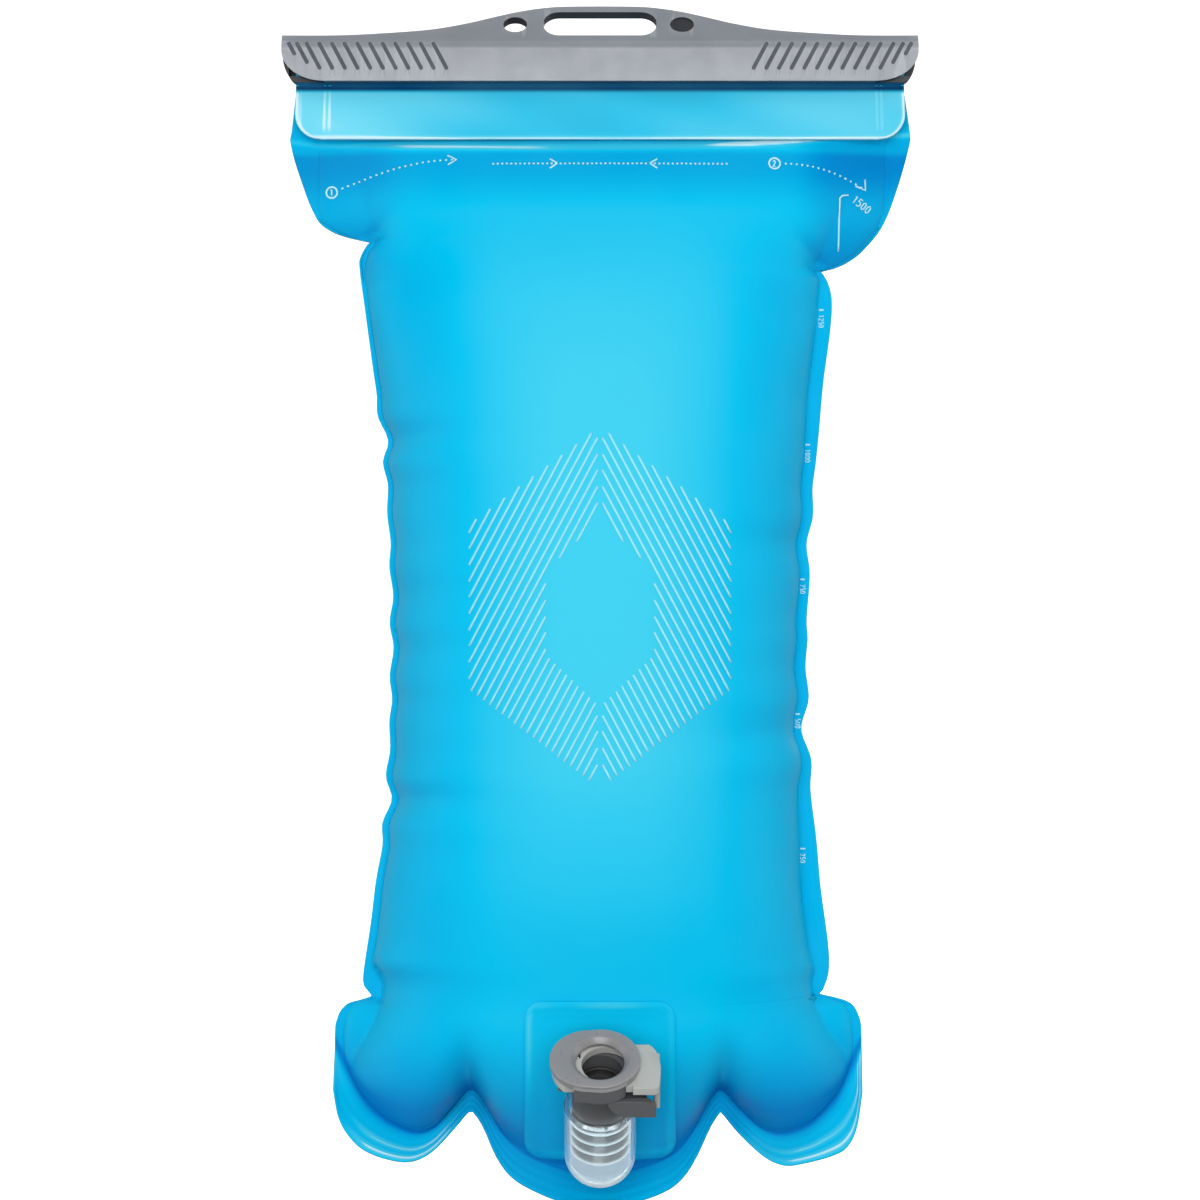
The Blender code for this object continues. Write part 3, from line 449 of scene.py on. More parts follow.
def coil(name, radius, wire, length, turns, look, placed):
    """A compression spring along Z from 0 to length, its end turns closed."""
    turn_steps = 36
    steps = turn_steps * (turns + 2)
    sides = 10
    points = np.empty((steps + 1, sides + 1, 3))
    for k in range(steps + 1):
        angle = TURN * k / turn_steps
        share = k / steps
        rise = share - math.sin(TURN * share) / TURN * 0.9
        out = np.array([math.cos(angle), math.sin(angle), 0])
        centre = radius * out + np.array([0, 0, wire + (length - 2 * wire) * rise])
        for j in range(sides + 1):
            a = TURN * j / sides
            points[k, j] = centre + wire * (math.cos(a) * out + math.sin(a) * np.array([0, 0, 1]))
    bm = welded(name, points)
    bmesh.ops.holes_fill(bm, edges=bm.edges)
    return from_bmesh(name, bm, look, placed)


# ---- materials

class Look:
    """A Principled material being put together."""

    def __init__(self, name, **sockets):
        self.material = bpy.data.materials.new(name)
        self.material.use_nodes = True
        self.nodes = self.material.node_tree.nodes
        self.links = self.material.node_tree.links
        self.shader = self.nodes["Principled BSDF"]
        for socket, value in sockets.items():
            self.shader.inputs[socket.replace("_", " ")].default_value = value
        self.place = self.node("TexCoord").outputs["Object"]

    def node(self, kind, **inputs):
        """A node with each input set to a value, or linked to the socket given for it."""
        made = self.nodes.new("ShaderNode" + kind)
        for name, value in inputs.items():
            socket = made.inputs[name.replace("_", " ")]
            if isinstance(value, bpy.types.NodeSocket):
                self.links.new(value, socket)
            else:
                socket.default_value = value
        return made

    def noise(self, scale, detail=3, stretch=(1, 1, 1)):
        place = self.node("Mapping", Vector=self.place, Scale=stretch).outputs["Vector"]
        return self.node("TexNoise", Vector=place, Scale=scale, Detail=detail, Roughness=0.55).outputs["Fac"]

    def downward(self):
        """0 on upright and upward faces, 1 on faces that lean down."""
        normal = self.node("TexCoord").outputs["Normal"]
        return self.span(self.node("SeparateXYZ", Vector=normal).outputs["Z"], 1.0, 0.0, -0.6, -0.15)

    def attribute(self, name):
        made = self.node("Attribute")
        made.attribute_name = name
        return made.outputs["Fac"]

    def ramp(self, value, *stops):
        """A colour for each value, from stops of (value, colour). The first is at 0 and the last at 1."""
        made = self.node("ValToRGB", Fac=value)
        ends = made.color_ramp.elements
        for end, (_, colour) in ((ends[0], stops[0]), (ends[1], stops[-1])):
            end.color = (*colour, 1)
        for position, colour in stops[1:-1]:
            made.color_ramp.elements.new(position).color = (*colour, 1)
        return made.outputs["Color"]

    def span(self, value, low, high, value_low=0.3, value_high=0.7):
        """Low to high as the value goes from value_low to value_high."""
        return self.node("MapRange", Value=value, From_Min=value_low, From_Max=value_high, To_Min=low,
                         To_Max=high).outputs["Result"]

    def mix(self, factor, first, second):
        """A colour between two, which may be values or sockets."""
        made = self.node("Mix")
        made.data_type = "RGBA"
        for socket, value in ((0, factor), (6, first), (7, second)):
            if isinstance(value, (float, int)):
                made.inputs[socket].default_value = value
            elif isinstance(value, tuple):
                made.inputs[socket].default_value = (*value, 1)
            else:
                self.links.new(value, made.inputs[socket])
        return made.outputs[2]

    def cloudy(self, scale, detail, first, second):
        """A colour that drifts between two."""
        return self.mix(self.span(self.noise(scale, detail), 0.0, 1.0), first, second)

    def drive(self, socket, value):
        self.links.new(value, self.shader.inputs[socket])

    def vary_gloss(self, scale, detail, low, high):
        self.drive("Roughness", self.span(self.noise(scale, detail), low, high))

    def add_grain(self, scale, detail, distance, strength, under=None):
        self.drive("Normal", self.bump(self.noise(scale, detail), distance, strength, under))

    def bump(self, value, distance, strength, under=None):
        made = self.node("Bump", Height=value, Distance=distance, Strength=strength)
        if under is not None:
            self.links.new(under, made.inputs["Normal"])
        return made.outputs["Normal"]


def film_look(name, clear, middle, shaded, roughness):
    """Blue welded film with light and shade painted into its colour. film_tone_and_painted_light runs from a
    painted glint (0) and thin, lit film painted pale, to painted shade on the bag's turned sides (1).
    """
    look = Look(name, IOR=1.3, Specular_IOR_Level=0.3, Specular_Tint=(0.05, 0.8, 1.0, 1))
    depth = look.attribute("film_tone_and_painted_light")
    # The ramp's first stop is a painted glint, its second the painted pale of lit film, its last painted
    # shade.
    colour = look.ramp(depth, (0.0, PAINTED_GLINT), (0.12, clear), (0.42, middle), (1.0, shaded))
    cloud = look.span(look.noise(28, 2), 0.0, 0.1)
    colour = look.mix(cloud, colour, clear)
    look.drive("Base Color", colour)
    look.vary_gloss(160, 4, roughness - 0.04, roughness + 0.05)
    grain = look.bump(look.noise(2600, 2), 0.00002, 0.35)
    waves = look.bump(look.noise(55, 2, stretch=(1, 1, 0.6)), 0.00055, 0.45, grain)
    look.drive("Normal", waves)
    return look.material


def plastic_look(name, colour, painted_edge_highlight, roughness, painted_underside_shade=None, rounding=0.0, grain=0.00002):
    """Moulded plastic: fine spark-eroded grain, a slight cloudiness, a painted highlight on sharp edges and,
    if a shade colour is given, painted shade on faces that lean down.
    """
    look = Look(name, IOR=1.5, Specular_IOR_Level=0.5)
    base = look.cloudy(90, 4, colour, tuple(c * 0.88 for c in colour))
    # Faces that lean down are painted in shade.
    if painted_underside_shade is not None:
        base = look.mix(look.downward(), base, painted_underside_shade)
    # A painted highlight along sharp edges.
    edge = look.node("NewGeometry").outputs["Pointiness"]
    painted_highlight_mask = look.span(edge, 0.0, 0.55, 0.52, 0.58)
    look.drive("Base Color", look.mix(painted_highlight_mask, base, painted_edge_highlight))
    look.vary_gloss(220, 5, roughness - 0.05, roughness + 0.06)
    rounded = None
    if rounding:
        edges = look.node("Bevel", Radius=rounding * MM)
        edges.samples = 6
        rounded = edges.outputs["Normal"]
    look.add_grain(1500, 3, grain, 0.5, rounded)
    return look.material


def clear_look():
    """The clear neck. Its clearness attribute falls towards the bag, where the film shows through it."""
    look = Look("clear_tube", IOR=1.17, Specular_IOR_Level=0.5)
    look.drive("Base Color", look.cloudy(70, 3, (0.86, 0.95, 0.98), (0.93, 0.98, 1.0)))
    look.vary_gloss(300, 3, 0.04, 0.12)
    look.drive("Transmission Weight", look.attribute("clearness"))
    look.add_grain(420, 2, 0.00004, 0.3)
    return look.material


def barb_painted_light_look():
    """Moulded barbs under the clear neck, with a painted highlight on their crests and painted shade in
    their valleys.
    """
    look = Look("barb_ridges_painted_light", Roughness=0.25, IOR=1.5, Specular_IOR_Level=0.6)
    height = look.attribute("barb_height")
    # Painted shade for the valleys, and a painted highlight for the crests.
    painted_valley_shade, slope, painted_crest_highlight = (0.01, 0.012, 0.014), (0.05, 0.055, 0.06), (0.7, 0.73, 0.75)
    colour = look.ramp(height, (0.0, painted_valley_shade), (0.7, slope), (1.0, painted_crest_highlight))
    look.drive("Base Color", look.mix(look.span(look.noise(400, 3), 0.0, 0.15), colour, (0.2, 0.22, 0.24)))
    look.add_grain(1500, 3, 0.00002, 0.4)
    return look.material


def rubber_look():
    look = Look("seal_rubber", Roughness=0.6, IOR=1.5)
    look.drive("Base Color", look.cloudy(500, 3, (0.02, 0.02, 0.022), (0.035, 0.034, 0.034)))
    look.add_grain(1800, 3, 0.00002, 0.5)
    return look.material


def steel_look():
    look = Look("spring_steel", Metallic=1.0)
    look.drive("Base Color", look.cloudy(900, 3, (0.62, 0.62, 0.63), (0.5, 0.5, 0.52)))
    look.vary_gloss(1200, 3, 0.2, 0.36)
    return look.material


def ink_look(name, pale):
    look = Look(name, Roughness=0.4, IOR=1.45, Specular_IOR_Level=0.3)
    look.drive("Base Color", look.cloudy(900, 3, pale, tuple(c * 0.9 for c in pale)))
    look.add_grain(2400, 2, 0.00002, 0.4)
    return look.material


# Film colours: a painted glint, the painted pale of lit film (the random cloudiness drifts to it too), the
# film's own blue and painted shade.
PAINTED_GLINT = (0.62, 0.87, 0.93)
CLEAR_BLUE = (0.055, 0.57, 0.77)
MIDDLE_BLUE = (0.0, 0.49, 0.785)
PAINTED_SHADE_BLUE = (0.0, 0.19, 0.54)
film_front_look = film_look("film_front", CLEAR_BLUE, MIDDLE_BLUE, PAINTED_SHADE_BLUE, 0.42)
film_back_look = film_look("film_back", CLEAR_BLUE, (0.0, 0.43, 0.69), PAINTED_SHADE_BLUE, 0.42)
# The mouth film's deepest colour is the painted shadow in the bar's throat.
film_mouth_look = film_look("film_mouth", (0.17, 0.67, 0.83), (0.03, 0.5, 0.75), (0.0, 0.03, 0.12), 0.36)
# Painted shade on the cap's faces that lean down.
COUPLER_SHADE = (0.06, 0.06, 0.062)
COUPLER_ROUNDING = 0.35
# Plastics: the second colour is a painted highlight on sharp edges; a colour after the roughness is painted
# shade on faces that lean down.
bar_look = plastic_look("bar_grey", (0.235, 0.25, 0.275), (0.38, 0.4, 0.42), 0.34, (0.068, 0.082, 0.108))
# Painted shade for the bar's thumb grooves and for its cut faces inside the channel, slot and holes.
groove_shade_look = plastic_look("bar_grooves_painted_shade", (0.05, 0.06, 0.075), (0.1, 0.11, 0.13), 0.5)
shade_look = plastic_look("bar_inside_painted_shade", (0.018, 0.02, 0.024), (0.05, 0.055, 0.06), 0.55)
rail_look = plastic_look("rail_pale", (0.55, 0.6, 0.64), (0.7, 0.72, 0.74), 0.42)
coupler_look = plastic_look("coupler_dark", (0.055, 0.056, 0.058), (0.13, 0.13, 0.135), 0.38, None,
                            COUPLER_ROUNDING)
cap_look = plastic_look("coupler_cap_grey", (0.22, 0.215, 0.22), (0.5, 0.49, 0.49), 0.3, COUPLER_SHADE,
                        COUPLER_ROUNDING)
button_look = plastic_look("button_grey", (0.36, 0.36, 0.33), (0.55, 0.55, 0.52), 0.36, None,
                           COUPLER_ROUNDING)
barb_look = plastic_look("barb_grey", (0.42, 0.43, 0.44), (0.6, 0.6, 0.6), 0.3)
painted_barb_look = barb_painted_light_look()
valve_look = plastic_look("valve_white", (0.6, 0.63, 0.65), (0.7, 0.72, 0.74), 0.4)
tube_look = clear_look()
seal_look = rubber_look()
spring_look = steel_look()
print_look = ink_look("print_ink", (0.5, 0.85, 0.93))
hatch_look = ink_look("hatch_ink", (0.32, 0.8, 0.92))


# ---- welded film

def side_value(left, right, side, z):
    """A value from the left or the right list of (z, value), by the sign of side."""
    return np.where(side < 0, smooth_curve(left, z), smooth_curve(right, z))


def seam_y(z):
    """The welds' surface: flat up the sides, leaning back to the closure, curling forward at the bottom."""
    low = np.clip((CORNER_Z - z) / (CORNER_Z - BOTTOM_SEAM_Z), 0, 1.25)
    return 0.9 * np.clip((z + 60) / 39, 0, None) - BOTTOM_SWEEP * low**2


def column_list(inner_count, margin_count):
    """Across the film, left to right: side, share of the filled width and share of the weld."""
    t = np.linspace(0, 1, inner_count + 1)
    inner = 0.35 * t + 0.65 * np.sin(t * QUARTER)
    margin = np.linspace(0, 1, margin_count + 1)[1:]
    share = np.concatenate([inner, np.ones(margin_count)])
    weld = np.concatenate([np.zeros(inner_count + 1), margin])
    side = np.concatenate([-np.ones(len(share)), np.ones(len(share) - 1)])
    return side, np.concatenate([share[::-1], share[1:]]), np.concatenate([weld[::-1], weld[1:]])


def body_rows():
    """Heights of the rows down the sides, closer together where the edge turns sharply."""
    bands = [(-21.5, -33, 7), (-33.5, -42, 18), (-43, -57, 12), (-58, -78, 41), (-80, -272, 97),
             (-273.5, CORNER_Z, 16)]
    return np.concatenate([np.linspace(high, low, count) for high, low, count in bands])


def fold_path(layer, steps=14):
    """(y, z) of a film layer from the flap's hinge, over the rail and down to the throat."""
    throat = LAYER * (layer + 0.5)
    wrap = RAIL_RADIUS + 0.3 + FILM / 2 + LAYER * layer
    dip = 0.41 * LAYER * layer
    rise = [(throat, -20.6), (throat, THROAT_Z - dip), (wrap, THROAT_Z + 1.6 - dip), (wrap, RAIL_TOP_Z)]
    over = [(wrap * math.cos(a), RAIL_TOP_Z + wrap * math.sin(a))
            for a in (math.pi * k / steps for k in range(1, steps))]
    return [(-y, z) for y, z in rise + over] + [(y, z) for y, z in reversed(rise)]


def pressed(dents, x, z):
    """How far the puckers press the film in at each point."""
    total = np.zeros_like(x)
    for x0, z0, degrees, length, width, depth in dents:
        c, s = math.cos(math.radians(degrees)), math.sin(math.radians(degrees))
        along = (x - x0) * c + (z - z0) * s
        across = (z - z0) * c - (x - x0) * s
        reach = np.where(along > 0, along / length, along / width)
        spread = width * (1 + 0.6 * np.clip(along / length, 0, 1.5))
        total += depth * np.exp(-reach**2 - (across / spread) ** 2)
    return total


def ledge(x, z):
    """The sharp fold that runs across the front film just under the flap."""
    away = np.sqrt((z - smooth_curve(LEDGE_LINE, x)) ** 2 + 0.05)
    return smooth_curve(LEDGE_HEIGHT, x) * np.exp(-away / 3.0)


def weld_lines(weld, z, side):
    """Raised lines pressed along the welds, beaded low on the right side."""
    lines = sum(np.exp(-((weld - t) / 0.07) ** 2) for t in (0.06, 0.36, 0.64, 0.9))
    beads = np.where((side > 0) & (z < -226) & (z > -275), 0.5 + 0.7 * np.sin(z * TURN / 1.9), 1)
    low = smooth_step(-276, -290, z)
    return lines * (WELD_LINE_HEIGHT + LOW_LINE_HEIGHT * low) * np.where(weld < 0.2, beads, 1) * (weld > 0)


def film_points(face, layer, inner_count, margin_count, lobe_count, flange_count):
    """The film's middle surface, rows by columns, and the painted shade and painted light that its seams add
    to the blue.
    """
    side, share, weld = column_list(inner_count, margin_count)
    fold_x = side * (share * (FOLD_HALF - FOLD_WELD) + weld * FOLD_WELD)
    fold = np.stack([np.stack([fold_x, np.full(len(side), y), np.full(len(side), z)], axis=-1)
                     for y, z in fold_path(layer)])
    body_z = body_rows()
    down = np.linspace(0, 1, lobe_count + 1)[1:] ** 0.9
    flange = np.linspace(0, 1, flange_count + 1)[1:]
    down = np.concatenate([np.zeros(len(body_z)), down, np.ones(flange_count)])[:, None]
    flange = np.concatenate([np.zeros(len(body_z) + lobe_count), flange])[:, None]
    edge_z = np.concatenate([body_z, np.full(len(down) - len(body_z), CORNER_Z)])[:, None]
    edge_z = (edge_z + (LOBE_INNER_EDGE_Z - CORNER_Z) * down
              + (LOBE_OUTER_EDGE_Z - LOBE_INNER_EDGE_Z) * flange)

    half = side_value(LEFT_EDGE, RIGHT_EDGE, side, edge_z)
    margin = side_value(LEFT_MARGIN, RIGHT_MARGIN, side, edge_z)
    inner = half - margin
    x = side * (inner * share + margin * weld)
    inner_low = smooth_curve(INNER_BOTTOM, x)
    outer_low = smooth_curve(BOTTOM_EDGE, x)
    lobe_z = CORNER_Z + (inner_low - CORNER_Z) * down + (outer_low - inner_low) * flange
    z = np.where(down > 0, lobe_z, edge_z + 0 * x)

    body_half = np.minimum(inner, side_value(LEFT_BODY, RIGHT_BODY, side, z))
    across = np.clip(np.abs(x) / body_half, 0, 1)
    full = smooth_curve(FRONT_DEPTH if face < 0 else BACK_DEPTH, z) * (1 - across**BULGE_POWER) ** 0.5
    wing = side_value(LEFT_WING, RIGHT_WING, side, z) * (1 - np.clip(np.abs(x) / inner, 0, 1) ** 5) ** 0.5
    full = (full**4 + wing**4) ** 0.25
    middle = 1 - smooth_step(22, 34, np.abs(x))
    full = full * (1 - down**2) ** (0.6 + 0.25 * middle)

    dents = pressed(FRONT_DENTS if face < 0 else BACK_DENTS, x, z)
    full = full - np.minimum(dents, 0.75 * full)
    if face < 0:
        full = full + ledge(x, z) * smooth_step(1.0, 0.9, across)
    apart = LAYER / 2 - (LAYER - FILM) / 2 * smooth_step(-60, -70, z) * np.maximum(weld, flange)
    flare = 3.2 * flange**1.4 * np.maximum(smooth_step(24, 40, np.abs(x)), 0.45)
    welds = np.maximum(weld, flange) + 0 * x
    lines = weld_lines(welds, z, side)
    y = seam_y(z) - flare + face * (apart + full + lines)

    # Painted shade on the film just above and below the bottom weld, painted light on the corner lobes'
    # flanges, and painted glints along the pressed weld lines, broken here and there.
    broken = smooth_step(-0.4, 0.6, np.sin(x / 9.5) + np.sin(z / 13 + 1))
    pressed_lines = lines / (WELD_LINE_HEIGHT + LOW_LINE_HEIGHT) * broken
    above_seam = np.exp(-((1 - down) / 0.16) ** 2) * (down < 1)
    below_seam = np.exp(-(flange / 0.12) ** 2) * (down >= 1)
    corner = smooth_step(36, 44, np.abs(x)) * smooth_step(0.1, 0.3, flange)
    painted_seam_light_and_shade = 0.42 * (above_seam + 0.9 * below_seam) - 0.36 * corner
    painted_seam_light_and_shade = painted_seam_light_and_shade - 0.5 * pressed_lines * smooth_step(0.3, 0.75, welds) * (0.3 + 0.7 * corner)
    points = np.concatenate([fold, np.stack([x, y, z], axis=-1)])
    return points, np.concatenate([np.zeros(fold.shape[:2]), painted_seam_light_and_shade])


def painted_film_light_and_shade(target, facing, x, z):
    """Light and shade painted into the film's blue: palest in a painted patch where light comes through,
    deepest in painted shade where it turns down.
    """
    mesh = target.data
    normals = np.empty(len(mesh.vertices) * 3, np.float32)
    mesh.vertex_normals.foreach_get("vector", normals)
    normals = normals.reshape(-1, 3)
    away = 1 - np.clip(normals[:, 1] * facing, 0, 1)
    up = normals[:, 2]
    half = smooth_curve(GLOW_HALF, z)
    glow = np.exp(-np.abs(x / half) ** 3) * smooth_curve(GLOW_LEVEL, z)
    side = smooth_step(26, 54, np.abs(x)) * smooth_step(-52, -80, z)
    low = smooth_step(-280, -312, z)
    # Painted shade on the sides, on faces that lean down and towards the bottom; turned-away faces a little
    # paler; the painted pale patch of light.
    depth = 0.42 + 0.15 * side - 0.1 * away + 0.2 * np.clip(-up, 0, 1) + 0.34 * low - 0.29 * glow
    painted_crest_highlight = 0.0
    if facing < 0:
        # Painted shade on the front's shoulders and just under the flap, and a painted glint along the
        # ledge's crest.
        shoulder = (0.16 + 0.08 * (x > 0)) * smooth_step(52, 66, np.abs(x)) * smooth_step(-78, -70, z)
        painted_shade_under_flap = 0.3 * smooth_step(-38.5, -41, z) * smooth_step(-58, -43, z)
        depth = depth + shoulder + painted_shade_under_flap
        painted_crest_highlight = np.exp(-((z - smooth_curve(LEDGE_LINE, x) - 0.5) / 0.9) ** 2)
        painted_crest_highlight = painted_crest_highlight * (0.14 + 0.16 * smooth_step(-6, -20, x) + 0.42 * smooth_step(24, 44, x))
    # Faces that turn up are painted lighter, and the ledge's painted glint is laid over all.
    return np.clip(depth - 0.1 * np.clip(up - 0.1, 0, 1), 0.14, 1) - painted_crest_highlight


def film_panel(name, face, layer, node, look):
    """One side of the bag, from the fold over the rail down to the bottom edge: face is -1 for the front."""
    points, painted_seam_light_and_shade = film_points(face, layer, 66, 9, 28, 18)
    panel = add_object(name, sheet_mesh(name, points, flip=face < 0), look)
    place = points.reshape(-1, 3)
    # The film's tone with its painted light and shade, kept for the material's ramp.
    shade = painted_film_light_and_shade(panel, face, place[:, 0], place[:, 2]) + painted_seam_light_and_shade.ravel()
    store(panel, "film_tone_and_painted_light", np.clip(shade, 0, 1))
    thicken(panel, FILM)
    fit(panel, "bag", node)
    return panel


bag_front = film_panel("bag_front", -1, 0, "front_panel", film_front_look)
film_panel("bag_back", 1, 1, "back_panel", film_back_look)


def mouth_lip(name, layer, node):
    """One film of the mouth, from inside the bar's throat down over the front of the bag."""
    heights = np.concatenate([np.linspace(FLAP_BOTTOM_Z, -29, 24), np.linspace(-28.5, -16.5, 25)])[:, None]
    u = np.concatenate([np.linspace(-1, -0.86, 46), np.linspace(-0.84, 0.84, 70), np.linspace(0.86, 1, 46)])
    up = heights - FLAP_BOTTOM_Z
    into_corner = np.clip(FLAP_CORNER - up, 0, None)
    corner = FLAP_CORNER - np.sqrt(np.clip(FLAP_CORNER**2 - into_corner**2, 0, None))
    x = u * (FLAP_HALF - corner)
    fall = np.clip((FLAP_TOP_Z - heights) / (FLAP_TOP_Z - FLAP_BOTTOM_Z), 0, 1)
    ripple = 0.12 * np.sin(x / 9.0 + 1) * fall + 0.07 * np.sin(x / 3.7) * fall**2
    y = -LAYER * (layer + 0.5) - FLAP_LEAN * fall + ripple
    seams = sum(np.exp(-((x - at) / 0.3) ** 2) for at in FLAP_SEAMS)
    seams = (seams + 0.5 * np.exp(-((x + 84) / 0.3) ** 2)) * smooth_step(1.2, 4, up)
    rim = np.exp(-((np.abs(u) - 1) * FLAP_HALF / 0.7) ** 2) + np.exp(-(up / 0.6) ** 2)
    y = y - (0.2 * seams + 0.3 * np.clip(rim, 0, 1)) * (fall > 0) * (1 if layer else 0.3)
    points = np.stack([x, y + 0 * x, heights + 0 * x], axis=-1)
    lip = add_object(name, sheet_mesh(name, points, flip=True), film_mouth_look)
    mottle = 0.5 + 0.25 * np.sin(x / 7.5 + heights / 3) + 0.25 * np.sin(x / 17 - heights / 5 + 2)
    pale = 0.36 - 0.26 * smooth_step(-25, -80, x) - 0.15 * smooth_step(20, 78, x) + 0.1 * mottle
    # Painted glints along the seams and the rim; inside the bar's throat the film is painted in deep shadow.
    painted_seam_and_rim_glints = np.clip(seams, 0, 1) * 0.14 + np.clip(rim, 0, 1) * 0.4
    painted_throat_shadow = smooth_step(-22.7, -21.5, heights)
    below = smooth_step(-21.5, -22.7, heights)
    store(lip, "film_tone_and_painted_light", (np.clip(pale - painted_seam_and_rim_glints, 0, 1) * below + painted_throat_shadow).ravel())
    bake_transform(lip)
    thicken(lip, FILM)
    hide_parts(node)


mouth_lip("flap_outer", 1, "mouth_lip_outer")
mouth_lip("flap_inner", 0, "mouth_lip_inner")

rail_ends = arc(RAIL_RADIUS, 0, RAIL_TOP_Z, 0, math.pi, 16)
rail_ends += arc(RAIL_RADIUS, 0, RAIL_LOW_Z, math.pi, math.pi, 16)
rail = from_bmesh("fold_rod", prism(rail_ends, -FOLD_HALF, FOLD_HALF, lengthwise), rail_look, BAG_FRAME)
soften(rail, 0.4)
fit(rail, "bag", "fold_rail")


# ---- slide bar

def plate_point(reach, depth=0.0):
    """(y, z) on the handle plate: reach up its front face, depth into its thickness."""
    foot_y = WALL_FRONT_Y + PLATE_BEND * (1 - math.cos(PLATE_TILT))
    foot_z = FRONT_WALL_TOP_Z + PLATE_BEND * math.sin(PLATE_TILT)
    up, across = math.cos(PLATE_TILT), math.sin(PLATE_TILT)
    return foot_y + reach * across + depth * up, foot_z + reach * up - depth * across


def plate_place(x, reach, depth):
    """For prism: an outline of x and reach on the plate, drawn out through its thickness."""
    return (x, *plate_point(reach, depth))


def bar_section(x):
    """Closed (y, z) section of the bar at x, without its channel."""
    reach = float(smooth_curve(PLATE_SWEEP, abs(x)))
    front = plate_point(reach)
    rear = plate_point(reach, PLATE_THICK)
    kept = min(1.0, max(0.1, (front[1] - CHANNEL_TOP_Z) / (front[1] - rear[1])))
    rear = tuple(f + (r - f) * kept for f, r in zip(front, rear))
    root = plate_point(0, PLATE_THICK)
    root_y = root[0] + (CHANNEL_TOP_Z - root[1]) * math.tan(PLATE_TILT)
    bend = [(WALL_FRONT_Y + PLATE_BEND * (1 - math.cos(a)), FRONT_WALL_TOP_Z + PLATE_BEND * math.sin(a))
            for a in (PLATE_TILT * k / 8 for k in range(8, -1, -1))]
    return [(WALL_FRONT_Y, BAR_BOTTOM_Z), (WALL_REAR_Y, BAR_BOTTOM_Z), (WALL_REAR_Y, CHANNEL_TOP_Z),
            (root_y, CHANNEL_TOP_Z), rear, front, *bend]


def corner_cutter(side, reach, y_low, y_high):
    """What lies outside a rounded lower corner of the bar, between two depths."""
    high = BAR_CORNER_TOP_Z
    x0 = BAR_HALF - reach
    curve = [(x0 + reach * math.sin(a), high - (high - BAR_BOTTOM_Z) * math.cos(a))
             for a in (QUARTER * k / 24 for k in range(25))]
    curve[0] = (x0, BAR_BOTTOM_Z - 0.01)
    curve[-1] = (BAR_HALF + 0.01, high)
    outline = curve + [(BAR_HALF + 5, high), (BAR_HALF + 5, BAR_BOTTOM_Z - 5), (x0, BAR_BOTTOM_Z - 5)]
    return prism(outline, y_low, y_high, lambda x, z, y: (side * x, y, z))


def groove_tool(side, k):
    """One thumb groove: a slanted, round-ended bar that dips into the front wall."""
    low = GROOVE_LOW_Z[k]
    length = (GROOVE_HIGH_Z - low) / math.cos(GROOVE_LEAN)
    outline = arc(0.55, 0, length - 0.55, 0, math.pi, 8) + arc(0.55, 0, 0.55, math.pi, math.pi, 8)
    foot = side * (GROOVE_FIRST_X + GROOVE_PITCH * k)
    c, s = math.cos(side * GROOVE_LEAN), math.sin(side * GROOVE_LEAN)

    def place(a, b, y):
        return (foot + a * c + b * s, y, low - a * s + b * c)

    return prism(outline, WALL_FRONT_Y - 1.5, WALL_FRONT_Y + 0.6, place)


def merged(tools):
    """Several separate bmeshes as one."""
    whole = bmesh.new()
    for tool in tools:
        mesh = bpy.data.meshes.new("merged")
        tool.to_mesh(mesh)
        tool.free()
        whole.from_mesh(mesh)
        bpy.data.meshes.remove(mesh)
    return whole


def slide_bar():
    """The closure bar: its section run along X, then its channel, holes, round corners and grooves."""
    stations = np.concatenate([[-BAR_HALF], np.linspace(-86, 86, 173), [BAR_HALF]])
    bm = bmesh.new()
    rings = [[bm.verts.new((x, y, z)) for y, z in bar_section(x)] for x in stations]
    for before, after in zip(rings, rings[1:]):
        for k in range(len(before)):
            bm.faces.new((before[k - 1], before[k], after[k], after[k - 1]))
    bm.faces.new(rings[0])
    bm.faces.new(rings[-1][::-1])
    bar = from_bmesh("closure_bar", bm, bar_look, BAG_FRAME)

    right = [(THROAT_HALF, BAR_BOTTOM_Z - 5), (THROAT_HALF, CAVITY_FLOOR_Z), (CAVITY_HALF, CAVITY_FLOOR_Z),
             (CAVITY_HALF, CAVITY_TOP_Z - CAVITY_CHAMFER), (CAVITY_HALF - CAVITY_CHAMFER, CAVITY_TOP_Z)]
    left = [(-y, z) for y, z in right]
    channel = left[:1] + right + left[:0:-1]
    slot = rounded_rectangle(-SLOT_HALF, SLOT_HALF, SLOT_LOW, SLOT_HIGH, 4.6, 12)
    cuts = [prism(channel, STOP_WALL - BAR_HALF, BAR_HALF + 5, lengthwise),
            prism(slot, -6, 8, plate_place),
            prism(circle(EYE_RADIUS, LANYARD_X, EYE_REACH, 48), -6, 8, plate_place),
            prism(circle(EYE_RADIUS, DIMPLE_X, EYE_REACH, 48), -2, 0.4, plate_place)]
    for side in (-1, 1):
        cuts.append(corner_cutter(side, 12.0, -9, -THROAT_HALF - 0.2))
        cuts.append(corner_cutter(side, 4.6, -THROAT_HALF - 0.3, 9))
    # The cut faces take painted shade.
    carve(bar, BAG_FRAME, "DIFFERENCE", cuts, shade_look)
    bevel_edges(bar, 0.28, 2, 40)
    grooves = merged([groove_tool(side, k) for side in (-1, 1) for k in range(GROOVE_COUNT)])
    # The grooves' faces take painted shade.
    carve(bar, BAG_FRAME, "DIFFERENCE", [grooves], groove_shade_look)
    sharpen(bar, 34)
    fit(bar, "slide_bar", "slide_bar")


slide_bar()


# ---- outlet

